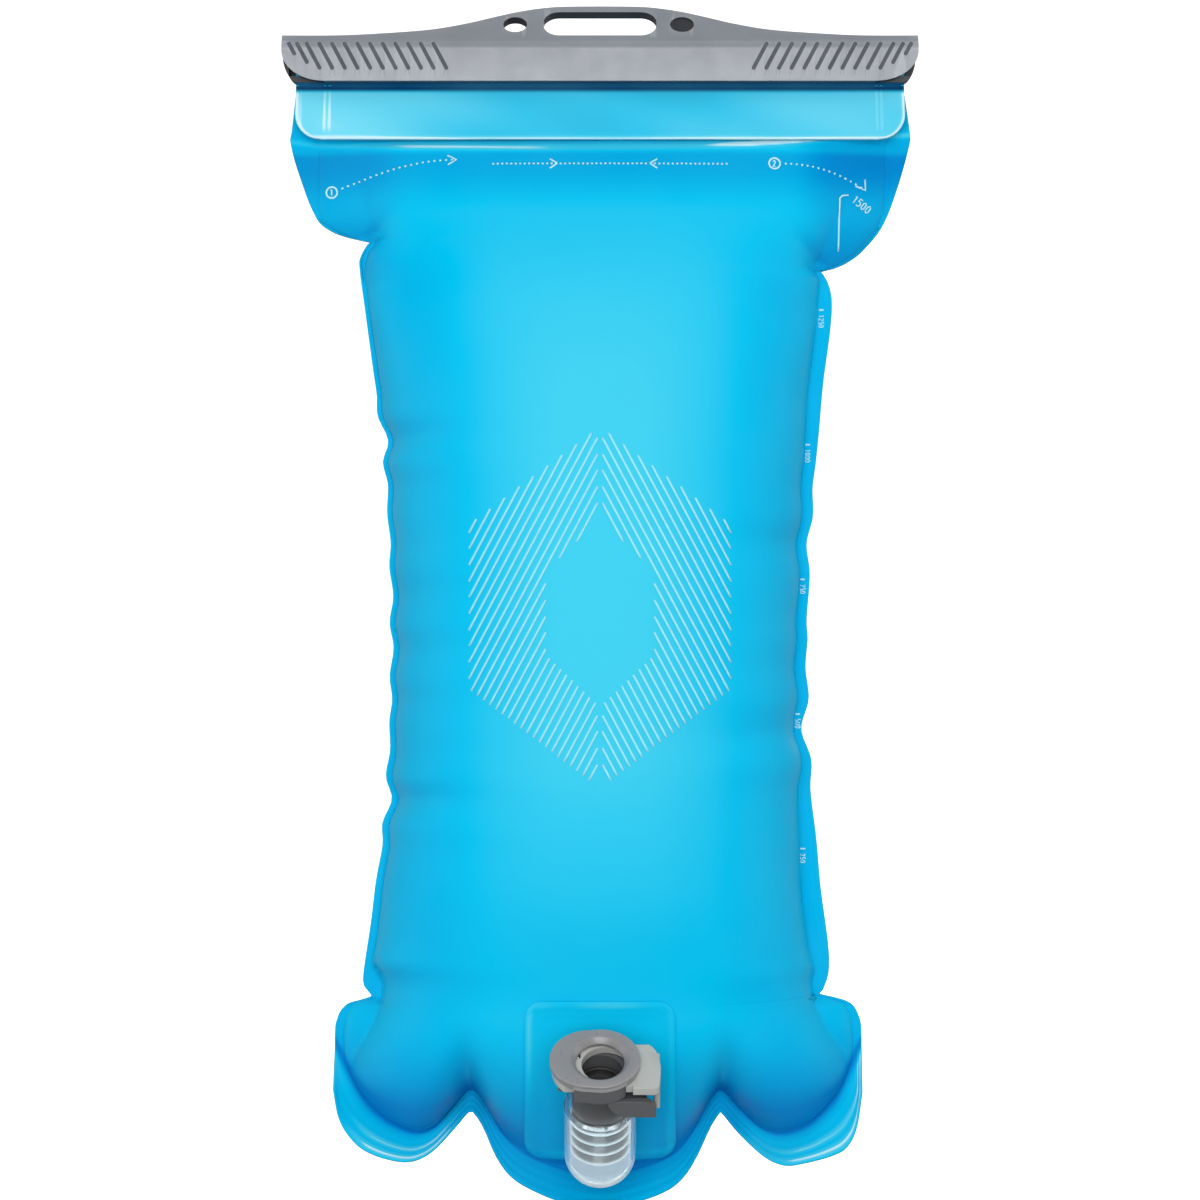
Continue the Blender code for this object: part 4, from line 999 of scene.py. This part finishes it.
PATCH_HALF = 20.0
PATCH_TOP_Z = -274.0
PATCH_BOTTOM_Z = -318.0
PATCH_THICK = 1.2
PATCH_CORNER = 4.5
PATCH_HOLE = 8.8
RIM_PLACE = 0.965             # the patch's raised rim and weld line, as shares of its half width
PATCH_LINE_PLACE = 0.87
NECK_RADIUS = 9.7
NECK_BORE = 8.3
NECK_MOUTH = -18.0
NECK_END = -36.7
STUB_REACH = 13.2
STUB_RADIUS = 8.5
STUB_BORE = 6.3
FLANGE_RADIUS = 11.0
FLANGE_THICK = 1.2
CAP_RADIUS = 10.7
CAP_SPREAD = 3.0
CAP_BORE = 6.5
CAP_LOW = -2.2
BODY_TOP = -5.2
SOCKET_RADIUS = 6.2
SOCKET_END = -13.0
BUTTON_TOP = -2.5
BUTTON_LOW = -4.9
BUTTON_EYE = 6.5
RIB_COUNT = 5
RIB_PITCH = 1.35
RIB_HALF = 0.28
SPRING_PLACE = 3.6
SPRING_TURNS = 4
VALVE_SPRING_LENGTH = 6.6
LATCH_SPRING_LENGTH = 3.6
STEM_BORE = 5.6
BARB_COUNT = 4
BARB_PITCH = 3.85
BARB_VALLEY = 6.1
BARB_CREST = 8.0

neck_end = OUTLET_CENTRE + Vector((0, -math.sin(OUTLET_TILT), math.cos(OUTLET_TILT))) * NECK_END
port_outward = Vector((0, -0.87, -0.493)).normalized()


def front_surface():
    """A look-up of the finished front film, in millimetres in the bag's frame."""
    back = BAG_FRAME.inverted()
    mesh = bag_front.data
    points = [back @ (bag_front.matrix_world @ v.co) for v in mesh.vertices]
    return BVHTree.FromPolygons(points, [list(p.vertices) for p in mesh.polygons])


surface = front_surface()


def on_film(x, z, above):
    """The point of the front film straight behind (x, z), lifted towards the viewer."""
    hit, normal, _, _ = surface.ray_cast(Vector((x, -150, z)), Vector((0, 1, 0)))
    if hit is None:
        hit, normal, _, _ = surface.find_nearest(Vector((x, 0, z)))
    outward = normal if normal.y < 0 else -normal
    return hit + outward * above


def outlet_patch():
    """The thick rounded square of film welded round the outlet, with a raised rim and a weld line."""
    steps = 44
    middle = (PATCH_TOP_Z + PATCH_BOTTOM_Z) / 2
    half = (PATCH_TOP_Z - PATCH_BOTTOM_Z) / 2
    points = np.empty((steps + 1, steps + 1, 3))
    for j in range(steps + 1):
        for i in range(steps + 1):
            u, v = i / steps * 2 - 1, 1 - j / steps * 2
            across, up = rounded_square(u, v, PATCH_CORNER / PATCH_HALF)
            edge = max(abs(u), abs(v))
            rise = 0.42 * math.exp(-((edge - RIM_PLACE) / 0.03) ** 2)
            rise += 0.22 * math.exp(-((edge - PATCH_LINE_PLACE) / 0.02) ** 2)
            above = FILM / 2 + 0.25 + PATCH_THICK / 2 + rise
            points[j, i] = on_film(PATCH_HALF * across, middle + half * up, above)
    patch = add_object("outlet_patch", sheet_mesh("outlet_patch", points), film_front_look)
    thicken(patch, PATCH_THICK)
    carve(patch, BAG_FRAME, "DIFFERENCE", [rod(neck_end - port_outward * 20, port_outward, 22, PATCH_HOLE)])
    soften(patch, 0.35, 2, 50)
    x, _, z = places_in(BAG_FRAME, patch).T
    edge = np.maximum(np.abs(x) / PATCH_HALF, np.abs(z - middle) / half)
    # Painted shade towards the patch's bottom, and painted glints along its raised rim, stronger in places.
    rim = np.exp(-((edge - RIM_PLACE) / 0.035) ** 2) * (0.6 + 0.4 * np.sin(x / 4 + z / 9))
    store(patch, "film_tone_and_painted_light", np.clip(0.44 + 0.34 * smooth_step(-284, -308, z) - 0.34 * rim, 0, 1))
    fit(patch, "bag", "port_patch")


def rounded_square(u, v, radius):
    """Moves a point of a square sheet so that the sheet's corners come out round."""
    edge = max(abs(u), abs(v))
    if edge < 1e-6:
        return u, v
    bu, bv = u / edge, v / edge
    over_u, over_v = abs(bu) - (1 - radius), abs(bv) - (1 - radius)
    if over_u > 0 and over_v > 0:
        length = math.hypot(over_u, over_v)
        bu = math.copysign(1 - radius + over_u * radius / length, bu)
        bv = math.copysign(1 - radius + over_v * radius / length, bv)
    return bu * edge, bv * edge


def outlet_neck():
    """The clear neck: a round-ended tube with a stub through the film and a flange inside the bag."""
    inward = -port_outward

    def round_ended(radius, mouth):
        low = NECK_END - radius
        curve = [(radius * math.sin(a), NECK_END - radius * math.cos(a))
                 for a in (math.pi * k / 48 for k in range(2, 25))]
        return turned([(0, low), (0.05, low), *curve, (radius, mouth), (0, mouth)])

    neck = from_bmesh("outlet_neck", round_ended(NECK_RADIUS, NECK_MOUTH), tube_look, OUTLET_FRAME)
    end = STUB_REACH + FLANGE_THICK
    stub = rod(neck_end, inward, end - 0.2, STUB_RADIUS)
    flange = rod(neck_end + inward * STUB_REACH, inward, FLANGE_THICK, FLANGE_RADIUS)
    carve(neck, BAG_FRAME, "UNION", [stub, flange])
    carve(neck, OUTLET_FRAME, "DIFFERENCE", [round_ended(NECK_BORE, NECK_MOUTH + 5)])
    carve(neck, BAG_FRAME, "DIFFERENCE", [rod(neck_end, inward, end + 5, STUB_BORE)])
    soften(neck, 0.3, 3, 40)
    height = places_in(OUTLET_FRAME, neck)[:, 2]
    store(neck, "clearness", 0.96 - 0.5 * smooth_step(-35, -42, height))
    fit(neck, "bag", "port_elbow")


def cap_reach(angle, radius):
    """The cap's outline from its axis: two circles set apart, and the straight edges between them."""
    c, s = math.cos(angle), abs(math.sin(angle))
    if c >= 0:
        return radius
    flat = radius / (s + 0.1 * -c)
    if flat * -c < CAP_SPREAD:
        return flat
    return -CAP_SPREAD * c + math.sqrt((radius - 0.3) ** 2 - (CAP_SPREAD * s) ** 2)


def coupler_cap():
    """The flat ring on top, with a post in front and one behind that stand on the body."""
    sides = 144
    angles = [TURN * k / sides for k in range(sides)]
    section = [(0.0, -0.45), (-0.13, -0.14), (-0.45, 0.0)]
    bm = bmesh.new()
    rings = []
    for angle in angles:
        outer = [(cap_reach(angle, CAP_RADIUS) + inset, z) for inset, z in section]
        rim = outer[0][0]
        inner = [(8.0, 0), (7.7, -0.12), (CAP_BORE + 0.1, -1.3), (CAP_BORE, -1.6), (CAP_BORE, CAP_LOW)]
        ring = outer + inner + [(rim - 0.3, CAP_LOW), (rim, CAP_LOW + 0.3)]
        rings.append([bm.verts.new((r * math.cos(angle), r * math.sin(angle), z)) for r, z in ring])
    for before, after in zip(rings, rings[1:] + rings[:1]):
        wall(bm, before, after)
    cap = from_bmesh("coupler_cap", bm, cap_look, OUTLET_FRAME)
    reaches = [(cap_reach(a, CAP_RADIUS - 0.15), a) for a in angles]
    posts = prism([(reach * math.cos(a), reach * math.sin(a)) for reach, a in reaches], -6.4, -1.4)
    span = prism(rounded_rectangle(-6.8, 6.8, -12, 12, 0.5, 3), -7, 0)
    gap = prism(rounded_rectangle(-12, 12, -8, 8, 0.5, 3), -7, 0)
    carve(cap, OUTLET_FRAME, "UNION", [carved_bmesh(posts, span, gap)], coupler_look)
    sharpen(cap)
    fit(cap, "bag", "coupling_cap")


def carved_bmesh(block, kept, removed):
    """A bmesh block, kept only inside one tool and outside another."""
    as_drawn = Matrix.Identity(4)
    piece = from_bmesh("block", block, cap_look, as_drawn)
    carve(piece, as_drawn, "INTERSECT", [kept])
    carve(piece, as_drawn, "DIFFERENCE", [removed])
    made = bmesh.new()
    made.from_mesh(piece.data)
    bpy.data.objects.remove(piece, do_unlink=True)
    return made


def coupler_button():
    """The latch plate: a tab and thumb pad on the right, an eye round the socket, two spring windows."""
    left = arc(10.2, -2.7, 0, math.pi - 0.855, 1.71, 32)
    tab = [(8.7, -7.7), (8.7, -8.7), (13.6, -8.7)]
    tab += arc(1.7, 14.1, -7.0, -QUARTER, QUARTER * 0.8, 6)
    tab += [(16, -4.5), (16.1, -1), (15.8, 2.4), (14.8, 5.2), (13.9, 6.6), (12.9, 7.3), (8.7, 7.3),
            (8.0, 7.7)]
    plate = prism(left + tab, BUTTON_LOW, BUTTON_TOP)
    button = from_bmesh("coupler_button", plate, button_look, OUTLET_FRAME)
    pad = prism(rounded_rectangle(14.3, 15.9, -7.3, 4.6, 0.7, 4), -11.5, BUTTON_TOP - 0.4)
    openings = [circle(BUTTON_EYE, 1.6)]
    for y in (-SPRING_PLACE, SPRING_PLACE):
        openings.append(rounded_rectangle(-10.8, -5.2, y - 1.3, y + 1.3, 0.4, 4))
    cuts = [prism(outline, BUTTON_LOW - 2, BUTTON_TOP + 2) for outline in openings]
    for k in range(RIB_COUNT):
        z = -10.4 + RIB_PITCH * k
        cuts.append(prism(rounded_rectangle(15.55, 16.5, -6.2, 3.6, 0.2, 2), z - RIB_HALF, z + RIB_HALF))
    carve(button, OUTLET_FRAME, "UNION", [pad])
    carve(button, OUTLET_FRAME, "DIFFERENCE", cuts)
    sharpen(button)
    fit(button, "release_button", "release_button")


def coupler_body():
    """The barrel with the plug's socket, a shoulder, a thumb lug on the right and two spring pegs."""
    barrel = [(SOCKET_RADIUS, BODY_TOP), (SOCKET_RADIUS, -9.8), (7.0, -9.8), (7.0, -11.2),
              (SOCKET_RADIUS, -11.2), (SOCKET_RADIUS, SOCKET_END), (3.8, SOCKET_END), (3.8, -15), (6.9, -15),
              (6.9, NECK_MOUTH + 0.3), (7.6, NECK_MOUTH + 0.3), (7.6, -9.3), (8.8, -8.7), (8.8, -6.7),
              (7.7, -6.7), (7.7, BODY_TOP)]
    body = from_bmesh("coupler_body", turned(barrel), coupler_look, OUTLET_FRAME)
    lug_edge = [(12.5, -12.8)] + arc(2.6, 9.9, -9.8, 0, QUARTER, 12) + [(6.4, -7.2), (6.4, -12.8)]
    plate_edge = [(14.9, -12.9)] + arc(3.6, 11.3, -10.6, 0, QUARTER, 16)
    plate_edge += arc(5.9, 7.9, -7.0, 2 * QUARTER, QUARTER, 16)
    added = [prism(lug_edge, -7.7, -1.5, upright), prism(plate_edge, -9.3, -7.6, upright),
             prism(rounded_rectangle(-11.2, -7.0, -5.2, 5.2, 0.8, 4), BODY_TOP - 2, BODY_TOP - 0.05)]
    for y in (-SPRING_PLACE, SPRING_PLACE):
        peg = rounded_rectangle(-10.5, -9.3, y - 1, y + 1, 0.3, 4)
        added.append(prism(peg, BODY_TOP - 1, BUTTON_TOP - 0.3))
    carve(body, OUTLET_FRAME, "UNION", added)
    sharpen(body)
    fit(body, "bag", "coupling_body")


def round_piece(name, profile, look, body, node, edge=0.15, cuts=()):
    """A turned piece on the outlet's axis, with its edges rounded unless edge is 0."""
    piece = from_bmesh(name, turned(profile), look, OUTLET_FRAME)
    carve(piece, OUTLET_FRAME, "DIFFERENCE", cuts)
    if edge:
        soften(piece, edge, 2, 34)
    fit(piece, body, node)
    return piece


def barb_profile():
    """The hollow stem in the neck, with a sawtooth of barbs outside."""
    top = -15.3
    profile = [(STEM_BORE, top - 3.2), (STEM_BORE, top), (6.7, top), (6.7, NECK_MOUTH)]
    for k in range(BARB_COUNT):
        start = NECK_MOUTH - 0.4 - BARB_PITCH * k
        profile += [(BARB_VALLEY, start), (BARB_VALLEY, start - 1.3), (7.0, start - 2.0),
                    (BARB_CREST, start - 2.6), (BARB_CREST, start - 3.1)]
    tip = [(BARB_VALLEY, -33.7), (BARB_VALLEY, -34.4), (4.9, -34.4), (4.9, -28.3), (STEM_BORE, -28.3)]
    return profile + tip


def outlet():
    """Every piece of the outlet but its springs."""
    outlet_patch()
    outlet_neck()
    coupler_cap()
    coupler_button()
    coupler_body()
    barb = round_piece("hose_barb", barb_profile(), painted_barb_look, "bag", "barbed_stem")
    x, y, _ = places_in(OUTLET_FRAME, barb).T
    store(barb, "barb_height", np.clip((np.hypot(x, y) - BARB_VALLEY) / (BARB_CREST - BARB_VALLEY), 0, 1))
    poppet = [(0, -10.5), (1.5, -10.5), (1.5, -14.6), (2.6, -15.0), (2.6, -16.9), (5.0, -16.9),
              (5.0, -18.45), (1.2, -18.45), (1.2, -27.5), (0, -27.5)]
    round_piece("valve_pin", poppet, valve_look, "valve_poppet", "valve_poppet")
    ways = [prism(circle(1.2, 3.45 * math.cos(a), 3.45 * math.sin(a), 32), -30, -24)
            for a in (QUARTER * (k + 0.07) for k in range(4))]
    guide = [(1.5, -26), (5.3, -26), (5.3, -28), (1.5, -28)]
    round_piece("valve_ring", guide, barb_look, "bag", "valve_guide", 0.15, ways)
    valve_seal = circle(0.6, 4.3, -15.95, 24)
    round_piece("valve_seal", valve_seal, seal_look, "valve_poppet", "poppet_o_ring", 0)
    socket_seal = circle(0.55, 6.15, -10.5, 24)
    round_piece("socket_seal", socket_seal, seal_look, "bag", "socket_o_ring", 0)


def spring(node, radius, wire, length, place):
    """A spring: a coil that moves with the bag, with a mesh of its own."""
    made = coil(node.replace("spring", "coil"), radius, wire, length, SPRING_TURNS, spring_look, place)
    fit(made, "bag", node)
    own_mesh(made)


def springs():
    place = OUTLET_FRAME @ Matrix.Translation((0, 0, -25.7))
    spring("valve_spring", 3.4, 0.35, VALVE_SPRING_LENGTH, place)
    for node, y in (("latch_spring_upper", SPRING_PLACE), ("latch_spring_lower", -SPRING_PLACE)):
        start = Matrix.Translation((-9.15, y, (BUTTON_TOP + BUTTON_LOW) / 2))
        place = OUTLET_FRAME @ start @ Matrix.Rotation(QUARTER, 4, "Y")
        spring(node, 0.8, 0.16, LATCH_SPRING_LENGTH, place)


outlet()
springs()


# ---- print

INK_ABOVE = FILM / 2 + 0.12
INK_THICK = 0.06
FILL_LINE_Z = -43.5
TICK_TOP_Z = -83.4
TICK_PITCH = 37.9
# The emblem's outer and inner hexagons as (foot, top, half width)
EMBLEM_OUTER = (-216, -118, 35.5)
EMBLEM_INNER = (-193, -144, 14)
HATCH_PITCH = 2.35
HATCH_LEAN = math.tan(math.radians(28))
HATCH_STEP = 0.25
HATCH_GAP = 0.6


def ink(name, strokes, look):
    """Printed strokes as thin ribbons that lie on the film: each is a list of (x, z) points and a width."""
    bm = bmesh.new()
    for points, width in strokes:
        rows = []
        for k, (x, z) in enumerate(points):
            before, after = points[max(k - 1, 0)], points[min(k + 1, len(points) - 1)]
            dx, dz = after[0] - before[0], after[1] - before[1]
            length = max(math.hypot(dx, dz), 1e-6)
            nx, nz = -dz / length * width / 2, dx / length * width / 2
            rows.append([bm.verts.new(on_film(x + way * nx, z + way * nz, INK_ABOVE)) for way in (1, -1)])
        for (a, b), (c, d) in zip(rows, rows[1:]):
            bm.faces.new((a, b, d, c))
    made = from_bmesh(name, bm, look, BAG_FRAME)
    thicken(made, INK_THICK, 1.0)
    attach(made, "bag")


def line(x0, z0, x1, z1, step=2.0):
    count = max(1, math.ceil(math.hypot(x1 - x0, z1 - z0) / step))
    return [(x0 + (x1 - x0) * k / count, z0 + (z1 - z0) * k / count) for k in range(count + 1)]


def number_strokes(text, x, z, size, width, lean=0.0):
    """Plain stick numerals: x and z are the middle of the first numeral's foot."""
    shapes = {
        "0": [[(0.1, 0.2), (0.1, 0.8), (0.3, 1), (0.5, 0.8), (0.5, 0.2), (0.3, 0), (0.1, 0.2)]],
        "1": [[(0.14, 0.82), (0.32, 0.97)], [(0.34, 1), (0.34, 0)]],
        "2": [[(0.1, 0.8), (0.3, 1), (0.5, 0.8), (0.45, 0.55), (0.1, 0), (0.52, 0)]],
        "5": [[(0.5, 1), (0.14, 1), (0.12, 0.58), (0.34, 0.64), (0.52, 0.42), (0.48, 0.12), (0.28, 0),
               (0.1, 0.1)]],
        "7": [[(0.1, 1), (0.52, 1), (0.25, 0)]],
    }
    c, s = math.cos(lean) * size, math.sin(lean) * size
    strokes = []
    for k, mark in enumerate(text):
        for shape in shapes[mark]:
            flat = [(a + 0.68 * k, b) for a, b in shape]
            strokes.append(([(x + a * c - b * s, z + a * s + b * c) for a, b in flat], width))
    return strokes


def hexagon_edge(height, low, high, half):
    """Half width of an upright hexagon at a height, or 0 outside it."""
    share = (height - low) / (high - low)
    if share < 0 or share > 1:
        return 0.0
    return half * min(1.0, share / 0.27, (1 - share) / 0.27)


def emblem():
    """A hexagonal ring of slanted hatching, mirrored about the middle."""
    strokes = []
    start = EMBLEM_OUTER[0] - 1
    for side in (-1, 1):
        for k in range(-40, 60):
            run = []
            runs = [run]
            for step in range(400):
                rise = step * HATCH_STEP
                x, z = HATCH_PITCH * k - rise * HATCH_LEAN, start + rise
                outer = hexagon_edge(z, *EMBLEM_OUTER)
                hollow = hexagon_edge(z, *EMBLEM_INNER)
                if HATCH_GAP < x < outer and x > hollow + (HATCH_GAP if hollow else 0):
                    run.append((side * x, z))
                elif run:
                    run = []
                    runs.append(run)
            strokes += [(r[:-1:6] + r[-1:], 0.55) for r in runs if len(r) > 10]
    ink("emblem_print", strokes, hatch_look)


def volume_scale():
    """Tick marks and plain volume numbers on the right weld, and the bracket at the top of the scale."""
    strokes = []
    for k, text in enumerate(("1250", "1000", "750", "500", "250")):
        z = TICK_TOP_Z - TICK_PITCH * k
        weld = float(smooth_curve(RIGHT_EDGE, z) - smooth_curve(RIGHT_MARGIN, z))
        strokes.append((line(weld + 0.5, z, weld + 1.9, z, 0.35), 0.5))
        strokes += number_strokes(text, weld + 0.5, z - 1.3, 1.4, 0.26, -QUARTER)
    strokes.append((line(66.8, -67, 67, -52.4) + line(67.7, -51.7, 69.6, -51.5), 0.45))
    strokes += number_strokes("1500", 70.3, -53.2, 2.2, 0.36, math.radians(-38))
    ink("scale_print", strokes, print_look)


def fill_line():
    """A dotted line with an arrowhead from each side."""
    z = FILL_LINE_Z
    strokes = [(line(x, z, x + 0.55, z), 0.5) for x in np.arange(-30, 36, 1.25)]
    for tail, tip, way in ((-14, -12, 1), (16, 14, -1)):
        strokes.append((line(tail, z - 1.4, tip, z) + line(tip + 0.1 * way, z + 0.1, tail, z + 1.4), 0.45))
    ink("fill_line_print", strokes, print_look)


def direction_marks():
    """Numbered rings and dotted, curved arrows that show which way the mouth folds and the bar slides."""
    strokes = []
    for side, number, x, z in ((-1, "1", -75.2, -50.6), (1, "2", 48.7, -43.2)):
        strokes.append((arc(1.55, x, z, 0, TURN, 20), 0.5))
        strokes += number_strokes(number, x - 0.62, z - 0.85, 1.7, 0.4)
    left = [(-72.5 + 32 * t, -49.6 + 7.4 * math.sin(QUARTER * t)) for t in np.linspace(0, 1, 60)]
    right = [(51.6 + 22.4 * t, -43.2 - 6.6 * t**2.1) for t in np.linspace(0, 1, 45)]
    for path in (left, right):
        strokes += [(path[k:k + 2], 0.5) for k in range(0, len(path) - 1, 3)]
    strokes.append(([(-42.4, -43.6), (-40, -42.2), (-42.6, -40.9)], 0.5))
    strokes.append(([(71.6, -48.9), (74.4, -50.1), (74.3, -47.0)], 0.5))
    ink("direction_print", strokes, print_look)


emblem()
volume_scale()
fill_line()
direction_marks()


# ---- studio

# Metres
FLOOR_DROP = 0.03
FLOOR_FLAT = 1.9
FLOOR_CURVE = 1.1
# Millimetres
MIDDLE_Z = -165
CAMERA_AWAY = 1000
CAMERA_LENS = 106.5
CAMERA_SENSOR = 36

BAG_MIDDLE = BAG_FRAME @ Vector((0, 0, MIDDLE_Z))


def studio_floor():
    """A round pale floor that curves up into a wall all round."""
    floor_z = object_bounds()[0].z - FLOOR_DROP
    profile = [(0, 0), (0.6, 0), (1.2, 0)]
    profile += arc(FLOOR_CURVE, FLOOR_FLAT, FLOOR_CURVE, -QUARTER, QUARTER, 16)
    profile += [(FLOOR_FLAT + FLOOR_CURVE, 2.4), (FLOOR_FLAT + FLOOR_CURVE, 3.4)]
    points = np.array([[(r * math.cos(a), r * math.sin(a), floor_z + z) for r, z in profile]
                       for a in np.linspace(0, TURN, 97)])
    look = Look("pale_floor", Roughness=0.9, Emission_Color=(1, 1, 1, 1), Emission_Strength=1.0)
    look.drive("Base Color", look.cloudy(6, 3, (0.49, 0.49, 0.49), (0.51, 0.51, 0.51)))
    floor = from_bmesh("studio_floor", welded("studio_floor", points), look.material, Matrix.Identity(4))
    floor.visible_glossy = False
    floor.visible_diffuse = False
    floor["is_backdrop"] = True


def put(name, data, location, rotation):
    """A lamp or a camera in the scene."""
    holder = bpy.data.objects.new(name, data)
    holder.location = location
    holder.rotation_euler = rotation
    bpy.context.scene.collection.objects.link(holder)
    return holder


def softbox(name, offset, width, height, power):
    """A rectangular lamp that faces the middle of the bag from an offset."""
    lamp = bpy.data.lights.new(name, "AREA")
    lamp.shape = "RECTANGLE"
    lamp.size = width
    lamp.size_y = height
    lamp.energy = power
    location = BAG_MIDDLE + Vector(offset)
    put(name, lamp, location, (BAG_MIDDLE - location).to_track_quat("-Z", "Y").to_euler())


def light_and_camera():
    world = bpy.data.worlds.new("studio")
    world.use_nodes = True
    world.node_tree.nodes["Background"].inputs["Color"].default_value = (0.92, 0.96, 1.0, 1)
    world.node_tree.nodes["Background"].inputs["Strength"].default_value = 0.46
    bpy.context.scene.world = world
    softbox("key", (-0.05, -1.5, 0.1), 0.9, 0.9, 16.8)
    softbox("left", (-1.5, -0.15, 0), 1.0, 1.2, 5.5)
    softbox("right", (1.5, -0.15, 0), 1.0, 1.2, 4.5)
    softbox("overhead", (0.35, -0.45, 1.3), 0.9, 0.5, 2.4)
    softbox("behind", (0.3, 1.5, 0.5), 0.8, 0.8, 12)
    camera = bpy.data.cameras.new("camera")
    camera.lens = CAMERA_LENS
    camera.sensor_width = CAMERA_SENSOR
    stand = BAG_FRAME @ Vector((0, -CAMERA_AWAY, MIDDLE_Z))
    bpy.context.scene.camera = put("camera", camera, stand, (QUARTER, 0, 0))
    bpy.context.scene.view_settings.view_transform = "Standard"


studio_floor()
light_and_camera()
